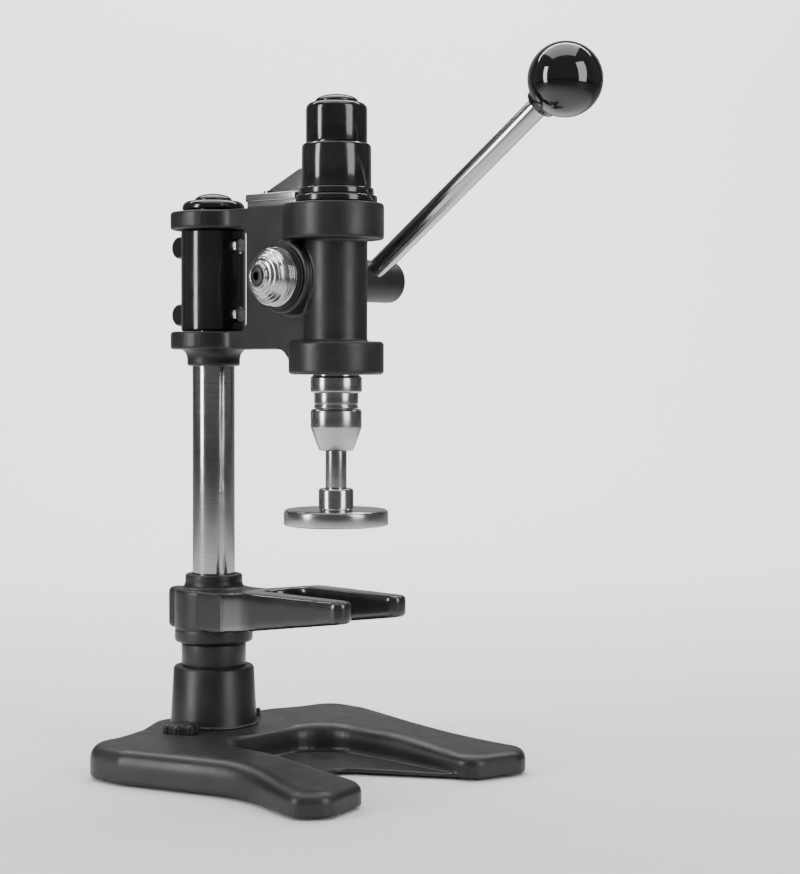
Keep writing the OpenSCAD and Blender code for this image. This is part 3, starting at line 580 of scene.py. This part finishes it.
CAST = painted("satin black casting", (0.010, 0.010, 0.011), 0.34, 0.46, grain=1100.0, strength=0.16,
               glint=0.42)
GLOSS = painted("gloss black", (0.006, 0.006, 0.006), 0.12, 0.22, coat=0.35, grain=700.0, strength=0.03,
                dusty=0.08, worn=(0.02, 0.02, 0.02))
BALL = painted("phenolic black", (0.004, 0.004, 0.004), 0.05, 0.10, coat=0.6, grain=260.0, strength=0.05,
               dusty=0.08, worn=(0.01, 0.01, 0.01))
DIPPED = painted("dipped black coat", (0.008, 0.008, 0.008), 0.16, 0.26, coat=0.5, grain=320.0,
                 strength=0.08, dusty=0.2, worn=(0.02, 0.02, 0.02))
RUBBER = painted("black rubber", (0.014, 0.014, 0.014), 0.7, 0.85, grain=1600.0, strength=0.25)
COLUMN_STEEL = metal("ground column steel", (0.56, 0.56, 0.57), 0.09, 0.15, fineness=2600.0, strength=0.03)
QUILL_STEEL = metal("turned steel on the quill axis", (0.50, 0.50, 0.51), 0.13, 0.20, (QUILL_X, 0, 0))
HUB_STEEL = metal("turned steel on the shaft axis", (0.56, 0.56, 0.57), 0.13, 0.20, (SHAFT_X, 0, SHAFT_Z),
                  SIDEWAYS)
DARK_STEEL = metal("dark steel", (0.10, 0.10, 0.105), 0.28, 0.40, fineness=1500.0, strength=0.05)
PLATE_STEEL = metal("polished plate steel", (0.70, 0.70, 0.71), 0.12, 0.20, (QUILL_X, 0, 0), fineness=900.0,
                    strength=0.04)
BRONZE = metal("bearing bronze", (0.42, 0.27, 0.11), 0.25, 0.35, (QUILL_X, 0, 0))
FINISHES = {"cast_black": CAST, "gloss_black": GLOSS, "polished_steel": COLUMN_STEEL,
            "turned_steel": QUILL_STEEL, "dark_steel": DARK_STEEL, "bronze": BRONZE, "rubber": RUBBER}


def dress_packed_nodes():
    for row in frame["record"]["subparts"]:
        dress(frame["nodes"][row["node"]], FINISHES[row["material_slot"]])


# ---------------------------------------------------------------- the base and its column
BASE_LOW, BASE_HIGH = box_mm("base_casting")
RIM, BASE_TOP = BASE_LOW.z, BASE_HIGH.z
HALF, FRONT, BACK = BASE_HIGH.y, BASE_HIGH.x, BASE_LOW.x
DISH = box_mm("column_socket")[0].z
LEG_IN = 41              # half the width of the space between the legs
LEG_ROUND = 8.5          # rounding of the legs' upper edges
TIP_SHARE = 0.70         # height of the legs' tips, as a share of the base's height
APRON_T = 2.8            # thickness of the apron between the legs
FALL = (92, 168)         # the legs' tops fall between these distances from the column


def both_sides(corners):
    return corners + [(x, -y, r) for x, y, r in reversed(corners) if y != 0]


def base_outline(inner, inset=0.0):
    outer = [(BACK + inset, -18, 20), (-12 + inset, -50, 20), (-4 + inset, -72, 28),
             (-2 + inset, -HALF + inset, 19), (33, -HALF + inset, 18), (108, -HALF + 22 + inset, 70),
             (FRONT - 12 - inset, -HALF + 8 + inset, 9), (FRONT - inset, -HALF + 22, 12)]
    return rounded(both_sides(outer + inner), 7)


def leg_height(x, share):
    """Share of the full height that the base has at a distance x in front of the column."""
    part = min(1.0, max(0.0, (x - FALL[0]) / (FALL[1] - FALL[0])))
    return 1 - (1 - share) * part * part * (3 - 2 * part)


def shape_base_top(obj):
    """Lowers the legs towards their tips and sinks the round dish that the socket stands in."""
    for vertex in obj.data.vertices:
        x, y, z = vertex.co / MM
        z = RIM + (z - RIM) * leg_height(x, TIP_SHARE)
        dish_edge = DISH + max(0.0, math.hypot(x, y) - 45) * 0.24
        vertex.co.z = min(z, dish_edge) * MM


def make_base():
    pocket = [(FRONT - 9, -LEG_IN, 12), (48, -LEG_IN, 24)]
    apron = [(FRONT - 16, -LEG_IN - 1.5, 9), (88, 0, 12)]
    base = plate("base casting", base_outline(pocket), RIM - 2 * LEG_ROUND, BASE_TOP)
    soften(base, LEG_ROUND * MM, 6, 50)
    only(base)
    bpy.ops.object.mode_set(mode="EDIT")
    bpy.ops.mesh.select_all(action="SELECT")
    bpy.ops.mesh.bisect(plane_co=(0, 0, RIM * MM), plane_no=(0, 0, 1), use_fill=True, clear_inner=True)
    bpy.ops.object.mode_set(mode="OBJECT")
    foot = plate("apron", base_outline(apron, 0.6), RIM, RIM + APRON_T)
    cast(base, [foot], 1.0 * MM, 5)
    shape_base_top(base)
    fit(base, "base_casting", "stand", CAST, flat=False)


def make_socket():
    _, _, low, high = sizes("neck_collar")
    top = low / MM
    rib_back = box_mm("column_socket")[0].x
    profile = [(12.6, DISH + 0.1), (26.2, DISH + 0.1), (26.2, DISH + 1.1), (25.4, DISH + 1.7),
               (23.7, top - 1.8), (23.0, top - 0.5), (21.6, top), (12.6, top), (12.6, DISH + 0.1)]
    socket = turned("column socket", profile, edge=0.5 * MM)
    rib = block("socket rib", (rib_back, -3.8, DISH + 0.2), (-20, 3.8, DISH + 23), 2.2 * MM, 4)
    join(socket, [rib])
    fit(socket, "column_socket", "stand", CAST)
    low, high = low / MM, high / MM
    neck = turned("neck collar", [(12.6, low + 0.02), (18.9, low + 0.02), (19, high - 1.2),
                                  (18.1, high - 0.3), (17.4, high), (12.6, high), (12.6, low + 0.02)],
                  edge=0.3 * MM)
    fit(neck, "neck_collar", "stand", CAST)


def make_column_cap():
    low, high = box_mm("column_cap")
    edge = 4.2
    profile = [(0, low.z), (high.x - 0.8, low.z), (high.x, low.z + 0.8)]
    profile += [(high.x - edge + r, z) for r, z in dome(edge, high.z - low.z - 1.6, low.z + 1.4, 8)[:-1]]
    profile += [(high.x - edge, high.z - 0.2), (12, high.z), (0, high.z)]
    fit(turned("column cap", profile, edge=0.25 * MM), "column_cap", "stand", GLOSS)
    low, high = box_mm("cap_button")
    profile = [(0, low.z)] + [(high.x - 0.05, low.z)] + dome(high.x - 0.05, high.z - low.z - 0.35,
                                                             low.z + 0.3)
    fit(turned("cap button", profile, edge=0.2 * MM), "cap_button", "stand", GLOSS)


def make_base_knob():
    """A low six-lobed knob: the lobes are bosses round a hub, run together into one skin."""
    middle, _, low, high = sizes("base_knob")
    place = middle.x, middle.y, low
    tall = (high - low) / MM
    hub = turned("base knob", [(0, 0), (8.4, 0), (8.4, tall - 1.6), (7.6, tall - 0.7), (5.5, tall - 0.1),
                               (0, tall)], place, edge=0)
    lobes = []
    for k in range(6):
        angle = math.radians(60 * k)
        at = (place[0] + 7.9 * MM * math.cos(angle), place[1] + 7.9 * MM * math.sin(angle), low)
        lobes.append(turned("lobe", [(0, 0), (2.7, 0), (2.7, tall - 1.6), (1.8, tall - 0.6),
                                     (0, tall - 0.3)], at, edge=0, steps=32))
    cast(hub, lobes, 0.3 * MM, 4)
    fit(hub, "base_knob", "base_knob", CAST, flat=False)


# ---------------------------------------------------------------- the fork

FORK_LOW, FORK_HIGH = box_mm("fork_casting")
PRONG_TOP = box_mm("fork_coat")[1].z
COAT_X = box_mm("fork_coat")[0].x
FORK_TOP = FORK_HIGH.z - 8.5
PRONG_GAP = 15           # half the gap between the prongs
ARM_H = 23               # height of the arm at the boss
TIP_H = 11.5             # height of the arm at the tips


def palm_outline(front):
    palm = [(-8, -21.5, 4), (30, -21.5, 30), (60, -31, 40), (front, -28, 6), (front, -PRONG_GAP, 6),
            (50, -PRONG_GAP, 14)]
    return rounded(both_sides(palm), 8)


def arm_side():
    """Side view of the arm: its top rises to the prongs and its underside climbs to their tips."""
    tip = FORK_HIGH.x
    return [(-10, FORK_TOP - ARM_H), (26, FORK_TOP - ARM_H), (tip + 3, PRONG_TOP - TIP_H),
            (tip + 3, PRONG_TOP), (60, PRONG_TOP), (24, FORK_TOP), (-10, FORK_TOP)]


def half_space(name, x_from, x_to):
    return block(name, (x_from, -60, 40), (x_to, 60, 140), 0)


def arm_solid(name, x_from, x_to):
    arm = plate(name, palm_outline(FORK_HIGH.x), FORK_LOW.z, PRONG_TOP + 5)
    carve(arm, plate("side", arm_side(), -60, 60, upright=True), "INTERSECT")
    cast(arm, [], 0.9 * MM, 26)
    return carve(arm, half_space("span", x_from, x_to), "INTERSECT")


def make_fork():
    low, top = FORK_LOW.z, FORK_TOP
    profile = [(12.6, low), (21.5, low), (22.7, low + 0.5), (23, low + 1.8), (23, low + 7.2),
               (22.6, low + 7.6), (22.6, low + 8), (23, low + 8.4), (23, top - 1.2), (22.2, top),
               (19.8, top), (17.9, top + 0.8), (17.0, top + 2.6), (16.8, top + 3.4), (16.8, top + 7.6),
               (16, top + 8.5), (12.6, top + 8.5), (12.6, low)]
    boss = turned("fork casting", profile, edge=0.3 * MM)
    root = arm_solid("arm root", -12, COAT_X + 1)
    ear = block("clamp ears", (FORK_LOW.x, -10, low + 6), (-14, 10, top - 0.6), 3.2 * MM, 4)
    slit = block("slit", (FORK_LOW.x - 5, -1.5, low - 5), (-10, 1.5, top + 5), 0)
    carve(ear, slit)
    cast(boss, [root, ear], 0.65 * MM, 4)
    fit(boss, "fork_casting", "fork", CAST, flat=False)
    coat = arm_solid("fork coat", COAT_X + 0.8, 150)
    lip = arm_solid("coat edge", COAT_X + 0.4, COAT_X + 2.6)
    cast(coat, [lip], 0.6 * MM, 5)
    fit(coat, "fork_coat", "fork", DIPPED, flat=False)


# ---------------------------------------------------------------- the head

HEAD_LOW, HEAD_HIGH = box_mm("head_casting")
HEAD_TOP = HEAD_HIGH.z
HEAD_H = 80.3
HEAD_Z = HEAD_TOP - HEAD_H      # underside of the web
RING_R = -HEAD_LOW.x
RING_H = 10.5
WEB = 12                 # half the web's thickness
WINDOW_X = 41            # front edge of the window between the rings
FILLET = 12              # fillet between each ring and the web
FLANGE_R = HEAD_HIGH.x - QUILL_X / MM
FLANGE_Z = HEAD_LOW.z


def ring_outline(radius):
    """A ring's round outline, run into the flat web by a fillet on each side."""
    turn_x = math.sqrt((radius + FILLET) ** 2 - (WEB + FILLET) ** 2)
    meet = math.degrees(math.atan2(WEB + FILLET, turn_x))
    upper = [(turn_x + FILLET * math.sin(math.radians(a)), WEB + FILLET * (1 - math.cos(math.radians(a))))
             for a in range(0, -int(90 - meet), -6)]
    start = [(60, WEB)] + upper
    steps = 30
    sweep = [meet + (360 - 2 * meet) * k / steps for k in range(steps + 1)]
    circle = [(radius * math.cos(math.radians(a)), radius * math.sin(math.radians(a))) for a in sweep]
    return start + circle + [(x, -y) for x, y in reversed(start)]


def web_outline():
    ring_low, ring_up = HEAD_Z + RING_H, HEAD_TOP - RING_H
    front = QUILL_X / MM
    flange_back = front - FLANGE_R + 1.2
    corners = [(10, HEAD_Z, 0.1), (flange_back, HEAD_Z, 10.5), (flange_back, FLANGE_Z + 3, 0.1),
               (front, FLANGE_Z + 3, 0.1), (front, HEAD_TOP, 0.1), (10, HEAD_TOP, 0.1), (10, ring_up, 0.1),
               (WINDOW_X, ring_up, 5.5), (WINDOW_X, ring_low, 5.5), (10, ring_low, 0.1)]
    return rounded(corners, 6)


def stadium(radius, stretch, x):
    arc = [(x + radius * math.cos(a), radius * math.sin(a))
           for a in (math.radians(-90 + 180 * k / 32) for k in range(33))]
    return arc + [(2 * x - stretch - p[0], -p[1]) for p in arc]


def make_head():
    quill = QUILL_X / MM
    web = plate("head casting", web_outline(), -WEB, WEB, upright=True)
    parts = [plate("lower ring", ring_outline(RING_R), HEAD_Z, HEAD_Z + RING_H),
             plate("upper ring", ring_outline(RING_R), HEAD_TOP - RING_H, HEAD_TOP),
             plate("upper flange", stadium(FLANGE_R, 4.5, quill), HEAD_TOP - 20, HEAD_TOP)]
    for part in parts:
        soften(part, 1.3 * MM, 3, 50)
    parts.append(turned("lower flange", [(0, FLANGE_Z), (FLANGE_R - 1.3, FLANGE_Z),
                                         (FLANGE_R, FLANGE_Z + 1.3), (FLANGE_R, FLANGE_Z + 17.2),
                                         (FLANGE_R - 1.3, FLANGE_Z + 18.5), (0, FLANGE_Z + 18.5)],
                        (quill * MM, 0, 0), edge=0))
    parts.append(turned("housing", [(0, FLANGE_Z + 2), (17.2, FLANGE_Z + 2), (17.2, HEAD_TOP - 2),
                                    (0, HEAD_TOP - 2)], (quill * MM, 0, 0), edge=0))
    parts.append(turned("column collar", [(0, HEAD_Z - 9.7), (14.6, HEAD_Z - 9.7), (15.5, HEAD_Z - 8.8),
                                          (15.5, HEAD_Z - 4.4), (16.4, HEAD_Z - 1.8), (18.8, HEAD_Z + 0.3),
                                          (18.8, HEAD_Z + 4), (0, HEAD_Z + 4)], edge=0))
    shaft = (SHAFT_X, 0, SHAFT_Z)
    near = (WEB + 9.4, 20.4)
    far = (WEB + 10, 18.5)
    for (reach, radius), side in ((near, NEAR), (far, FAR)):
        parts.append(turned("boss", [(0, 0), (radius + 2.2, WEB - 1), (radius + 0.8, WEB + 0.6),
                                     (radius, WEB + 2.4), (radius, reach - 0.8), (radius - 0.8, reach),
                                     (0, reach)], shaft, side, 0))
    cast(web, parts, 0.75 * MM, 4)
    bore = turned("column bore", [(0, -400), (12.5, -400), (12.5, 400), (0, 400)], edge=0)
    carve(web, bore)
    fit(web, "head_casting", "head", CAST, angle=40)


# ---------------------------------------------------------------- the spring cap over the quill

def make_spring_stack():
    place = (QUILL_X, 0, 0)
    for node, wall in (("lock_ring_lower", 7), ("lock_ring_upper", 3.6)):
        _, radius, low, high = sizes_mm(node)
        profile = [(radius - wall, low), (radius - 0.7, low), (radius, low + 0.7), (radius, high - 0.9),
                   (radius - 0.3, high - 0.4), (radius - 0.9, high), (radius - wall, high),
                   (radius - wall, low)]
        fit(turned(node.replace("_", " "), profile, place, edge=0.2 * MM), node, "head",
            GLOSS)
    _, radius, low, high = sizes_mm("spring_case")
    profile = [(radius - 2.2, low), (radius - 0.3, low), (radius, low + 0.6), (radius - 0.1, high - 2.4),
               (radius - 0.5, high - 1.2), (radius - 1.6, high - 0.2), (radius - 3, high),
               (radius - 3.4, high - 3), (radius - 2.2, low)]
    fit(turned("spring case", profile, place, edge=0.2 * MM), "spring_case", "head", GLOSS)
    _, radius, low, high = sizes_mm("adjusting_cap")
    edge = 3.9
    profile = [(radius - 1.4, low + 0.1), (radius - 0.2, low + 0.1), (radius - 0.05, low + 0.5)]
    profile += [(radius - 0.05 - edge + r, z) for r, z in dome(edge, edge, high - edge - 0.3, 8)[:-1]]
    profile += [(radius - edge - 0.5, high - 0.15), (0, high), (0, high - 3), (radius - 1.4, high - 5),
                (radius - 1.4, low + 0.1)]
    cap = turned("adjusting cap", profile, place, edge=0.15 * MM)
    fit(cap, "adjusting_cap", "adjusting_cap", GLOSS)
    _, radius, low, high = sizes_mm("adjusting_cap_button")
    profile = [(0, low)] + [(radius - 0.1, low)] + dome(radius - 0.1, high - low - 0.45, low + 0.4)
    fit(turned("adjusting cap button", profile, place, edge=0.2 * MM), "adjusting_cap_button",
        "adjusting_cap", GLOSS)


def make_bracket():
    """Two polished plates on the web, with an upright fin against the spring case."""
    for node, edge in (("bracket_base", 0.5), ("bracket_plate", 0.7)):
        low, high = box_mm(node)
        strip = block(node.replace("_", " "), low, high, edge * MM, 3)
        fit(strip, node, "head", PLATE_STEEL)
    low, high = box_mm("bracket_gusset")
    outline = rounded([(low.x, low.z, 0.1), (high.x, low.z, 0.1), (high.x, high.z, 0.8),
                       (high.x - 12.5, high.z, 5), (low.x, low.z + 1.5, 0.5)], 6)
    fin = plate("bracket fin", outline, -high.y, -low.y, upright=True)
    soften(fin, 0.5 * MM, 3, 40)
    fit(fin, "bracket_gusset", "head", PLATE_STEEL)


# ---------------------------------------------------------------- quill, chuck and tamper

def make_quill_parts():
    place = (QUILL_X, 0, 0)
    _, radius, low, high = sizes_mm("chuck_ring")
    ring = [(0, low), (radius - 1, low), (radius - 0.1, low + 0.8), (radius, low + 1.4),
            (radius, high - 1.2), (radius - 0.8, high - 0.2), (radius - 1.6, high), (0, high)]
    fit(turned("chuck ring", ring, place, edge=0.15 * MM), "chuck_ring", "quill",
        QUILL_STEEL)
    _, radius, low, high = sizes_mm("chuck_neck")
    neck = [(0, low), (radius, low), (radius, low + 1.4), (radius - 0.5, low + 1.7),
            (radius - 0.5, low + 2.4), (radius, low + 2.7), (radius, high), (0, high)]
    fit(turned("chuck neck", neck, place, edge=0.1 * MM), "chuck_neck", "quill",
        QUILL_STEEL)
    _, radius, low, high = sizes_mm("collet_nut")
    nut = [(6, low), (9.2, low), (9.9, low + 0.7), (radius - 0.1, high - 10.4), (radius, high - 9.8),
           (radius, high - 1.2), (radius - 0.9, high - 0.2), (radius - 1.6, high), (9.3, high),
           (9.3, low + 1.2), (6, low + 1.2), (6, low)]
    fit(turned("collet nut", nut, place, edge=0.18 * MM), "collet_nut", "collet_nut",
        QUILL_STEEL)
    _, radius, low, high = sizes_mm("tamper_shank")
    shank = [(0, low), (radius, low), (radius, high - 0.6), (radius - 0.6, high), (0, high)]
    fit(turned("tamper shank", shank, place, edge=0.1 * MM), "tamper_shank", "quill",
        QUILL_STEEL)
    _, radius, low, high = sizes_mm("tamper_base")
    disc = low + 9
    tamper = [(0, low), (radius - 0.9, low), (radius - 0.2, low + 0.4), (radius, low + 1),
              (radius, disc - 1.5), (radius - 0.5, disc - 0.6), (radius - 1.5, disc), (10.6, disc + 0.15),
              (9.9, disc + 0.5), (9.7, disc + 1.2), (9.7, high - 1), (9.1, high - 0.2), (8.4, high),
              (6, high), (6, high - 4), (0, high - 4)]
    fit(turned("tamper", tamper, place, edge=0.15 * MM), "tamper_base", "quill",
        QUILL_STEEL)


# ---------------------------------------------------------------- shaft, hub and lever

def hex_key_screw(name, radius, height, across, at, along):
    """Head of a socket screw, with a hexagonal recess."""
    head = turned(name, [(0, 0), (radius, 0), (radius, height - 0.7), (radius - 0.6, height), (0, height)],
                  at, along, 0.1 * MM, steps=48)
    clear()
    bpy.ops.mesh.primitive_cylinder_add(vertices=6, radius=across / math.sqrt(3) * MM, depth=height * MM)
    recess = bpy.context.object
    inner = Vector(at) + Vector(along) * (height * 0.95) * MM
    move(recess, inner, along)
    return carve(head, recess)


def make_hub():
    shaft = Vector((SHAFT_X, 0, SHAFT_Z))
    low, high = box_mm("shaft_rings")
    start = -high.y
    rings = None
    for step, radius in enumerate((17.7, 16.7)):
        begin = start + 1.5 * step
        ring = turned("shaft rings", [(7.2, begin), (radius, begin), (radius, begin + 1.1),
                                      (7.2, begin + 1.1), (7.2, begin)], shaft, NEAR, 0.35 * MM)
        rings = ring if rings is None else join(rings, [ring])
    fit(rings, "shaft_rings", "lever", RUBBER)
    z = start + 2.75
    profile = [(7.1, z), (16.1, z), (16.35, z + 0.3), (16.35, z + 1.2)]
    groove, crest = 15.35, 16.1
    for k in range(3):
        at = z + 1.7 + 1.45 * k
        profile += [(groove, at), (groove, at + 0.55), (crest - 0.15 * k, at + 0.75),
                    (crest - 0.15 * k, at + 1.2)]
    profile += [(15.3, z + 6), (14.8, z + 6.5), (14.2, z + 8), (13.7, z + 8.1), (13.5, z + 8.6),
                (12.8, z + 10.1), (12.3, z + 10.2), (12.1, z + 10.7), (11.1, z + 12), (10.5, z + 12.1),
                (10.2, z + 12.7), (9, z + 13.4), (8.3, z + 13.5), (8, z + 14), (7.2, z + 14.4),
                (6.9, z + 15.2), (6.4, z + 15.55), (5.2, z + 15.55), (5.1, z + 11), (7.1, z + 11),
                (7.1, z)]
    hub = turned("turned hub", profile, shaft, NEAR, 0.08 * MM, 2)
    fit(hub, "turned_hub", "lever", HUB_STEEL, angle=24)
    low, high = box_mm("hub_screw")
    screw = hex_key_screw("hub screw", 4.8, 5, 4.6, shaft + Vector((0, (low.y + 5) * MM, 0)), NEAR)
    fit(screw, "hub_screw", "lever", DARK_STEEL)


def make_lever():
    shaft = Vector((SHAFT_X, 0, SHAFT_Z))
    low, high = box_mm("lever_hub")
    radius = (high.x - low.x) / 2
    profile = [(7.2, low.y), (radius - 0.6, low.y), (radius, low.y + 0.6), (radius, high.y - 4)]
    profile += [(radius - 3 + r, y) for r, y in dome(3, 3, high.y - 3.2, 6)[1:-1]]
    profile += [(radius - 3.4, high.y - 0.1), (4, high.y), (3.2, high.y - 0.6), (0, high.y - 0.7),
                (0, high.y - 6), (7.2, high.y - 9), (7.2, low.y)]
    fit(turned("lever hub", profile, shaft, FAR, 0.3 * MM), "lever_hub", "lever", CAST)
    rod_low, rod_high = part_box("lever_rod")
    lever_y = (rod_low.y + rod_high.y) / 2
    root = Vector((SHAFT_X, lever_y, SHAFT_Z))
    ball_r = (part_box("ball_knob")[1].y - lever_y) / MM
    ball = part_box("ball_knob")[1] - Vector((ball_r, 0, ball_r)) * MM
    ball.y = lever_y
    along = (ball - root).normalized()
    neck = 9.1
    turn_at = math.degrees(math.acos(neck / ball_r))
    arc = [(ball_r * math.cos(math.radians(a)), ball_r * math.sin(math.radians(a)))
           for a in [-turn_at + (90 + turn_at) * k / 40 for k in range(41)]]
    profile = [(5.85, -ball_r - 1), (neck - 1, -ball_r - 1), (neck - 0.2, -ball_r - 0.4)] + arc[:-1]
    profile += [(0, ball_r), (0, -ball_r + 6), (5.85, -ball_r + 6), (5.85, -ball_r - 1)]
    knob = turned("ball knob", profile, ball, along, 0.2 * MM)
    fit(knob, "ball_knob", "lever", BALL, angle=40)


def make_stand_details():
    low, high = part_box("column")
    bottom, top, radius = low.z / MM, high.z / MM, high.x / MM
    column = turned("column", [(0, bottom), (radius, bottom), (radius, top - 0.6), (radius - 0.6, top),
                               (0, top)])
    fit(column, "column", "stand", COLUMN_STEEL)
    low, high = box_mm("locating_stud")
    middle = (low + high) / 2
    stud = turned("locating stud", [(0, low.z), (1.3, low.z), (1.3, high.z - 0.5), (0.8, high.z),
                                    (0, high.z)], (middle.x * MM, middle.y * MM, 0), edge=0.1 * MM,
                  steps=32)
    fit(stud, "locating_stud", "stand", DARK_STEEL)


LUG_IN = 9.5             # from each end of the sleeve to its nearer lug


def make_sleeve():
    """The split sleeve between the head's rings, with two clamp lugs behind."""
    low, high = box_mm("clamp_sleeve")
    heights = (low.z + LUG_IN, high.z - LUG_IN)
    radius = high.x
    profile = [(12.5, low.z), (radius - 0.6, low.z), (radius, low.z + 0.6), (radius, high.z - 0.6),
               (radius - 0.6, high.z), (12.5, high.z), (12.5, low.z)]
    sleeve = turned("clamp sleeve", profile, edge=0.15 * MM)
    lugs = []
    for z in heights:
        lugs.append(turned("lug", [(0, -10), (5.7, -10), (6.5, -9.2), (6.5, 9.2), (5.7, 10), (0, 10)],
                           ((-radius - 1) * MM, 0, z * MM), FAR, 0.3 * MM))
    cast(sleeve, lugs, 0.5 * MM, 1)
    carve(sleeve, turned("bore", [(0, -400), (12.46, -400), (12.46, 400), (0, 400)], edge=0))
    carve(sleeve, block("slit", (-40, -1, low.z - 1), (0, 1, high.z + 1), 0))
    for z in heights:
        at = ((-radius - 1.5) * MM, 0, z * MM)
        carve(sleeve, turned("hole", [(0, -8), (2.05, -8), (2.05, 12), (0, 12)], at, FAR, 0, steps=32))
        at = (11 * MM, 0, z * MM)
        carve(sleeve, turned("hole", [(0, 0), (2.5, 0), (2.5, 12), (0, 12)], at, (1, 0, 0), 0, steps=32))
    fit(sleeve, "clamp_sleeve", "sleeve", GLOSS)
    screws = None
    for z in heights:
        stem = turned("sleeve lock screws", [(0, 0.1), (2.4, 0.1), (2.4, 5.4), (0, 5.4)],
                      (12.45 * MM, 0, z * MM), (1, 0, 0), 0.1 * MM, steps=32)
        nut = hexagon("nut", 4.5, 4.3, ((radius + 0.1) * MM, 0, z * MM))
        screws = join(stem, [nut]) if screws is None else join(screws, [stem, nut])
    fit(screws, "sleeve_lock_screws", "sleeve", PLATE_STEEL)


def hexagon(name, radius, height, at):
    """A hexagonal nut on the X axis, with its corners turned down."""
    clear()
    bpy.ops.mesh.primitive_cylinder_add(vertices=6, radius=radius * MM, depth=height * MM)
    nut = bpy.context.object
    nut.name = name
    chamfer = turned("chamfer", [(0, -height / 2), (radius - 0.5, -height / 2),
                                 (radius, -height / 2 + 0.3), (radius, height / 2 - 0.3),
                                 (radius - 0.5, height / 2), (0, height / 2)], edge=0)
    carve(nut, chamfer, "INTERSECT")
    soften(nut, 0.12 * MM, 2, 30)
    return move(nut, Vector(at) + Vector((height / 2 * MM, 0, 0)), (1, 0, 0))


SPRING_WIRE = 1.6        # thickness of the spring's wire
SPRING_TURNS = 7


def make_spring():
    """The return spring: a round wire wound about the quill, which shortens as the lever comes down."""
    low, high = box_mm("return_spring")
    radius, height = (high.x - low.x) / 2 - SPRING_WIRE / 2 - 0.02, high.z - low.z
    clear()
    bpy.ops.mesh.primitive_circle_add(vertices=10, radius=SPRING_WIRE / 2 * MM)
    spring = bpy.context.object
    spring.name = "return spring"
    spring.rotation_euler = (math.radians(90), 0, 0)
    spring.location = (radius * MM, 0, (SPRING_WIRE / 2 + 0.01) * MM)
    only(spring)
    bpy.ops.object.transform_apply(location=True, rotation=True, scale=True)
    pitch = (height - SPRING_WIRE - 0.02) / SPRING_TURNS
    apply(spring, "SCREW", "wind", screw_offset=pitch * MM, iterations=SPRING_TURNS, steps=36,
          render_steps=36)
    only(spring)
    bpy.ops.object.mode_set(mode="EDIT")
    bpy.ops.mesh.select_all(action="SELECT")
    bpy.ops.mesh.fill_holes(sides=0)
    settle(spring)
    move(spring, (QUILL_X, 0, low.z * MM))
    fit(spring, "return_spring", "head", PLATE_STEEL)
    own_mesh(spring)


def make_cover_and_rod():
    low, high = box_mm("boss_cover")
    shaft = (SHAFT_X, 0, SHAFT_Z)
    radius, inner = (high.x - low.x) / 2, 8.2
    ring = [(inner, -high.y), (radius - 0.02, -high.y), (radius - 0.02, -low.y - 0.5),
            (radius - 0.5, -low.y), (inner + 0.4, -low.y), (inner, -low.y - 0.4), (inner, -high.y)]
    fit(turned("boss cover", ring, shaft, NEAR, 0.1 * MM), "boss_cover", "head", GLOSS)
    low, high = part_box("lever_rod")
    radius = (high.y - low.y) / 2 / MM
    ball_low, ball_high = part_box("ball_knob")
    root = Vector((SHAFT_X, (low.y + high.y) / 2, SHAFT_Z))
    size = (ball_high.y - ball_low.y) / 2
    knob = Vector((ball_high.x - size, root.y, ball_high.z - size))
    along = (knob - root).normalized()
    start, end = 8.5, (knob - root).length / MM - size / MM + 5
    shaft = turned("lever rod", [(0, start), (radius, start), (radius, end), (0, end)], root, along,
                   0.3 * MM)
    fit(shaft, "lever_rod", "lever", COLUMN_STEEL)


add_camera()
add_stage()
add_lights()
dress_packed_nodes()
make_base()
make_socket()
make_column_cap()
make_base_knob()
make_fork()
make_head()
make_spring_stack()
make_bracket()
make_quill_parts()
make_hub()
make_lever()
make_stand_details()
make_sleeve()
make_cover_and_rod()
make_spring()
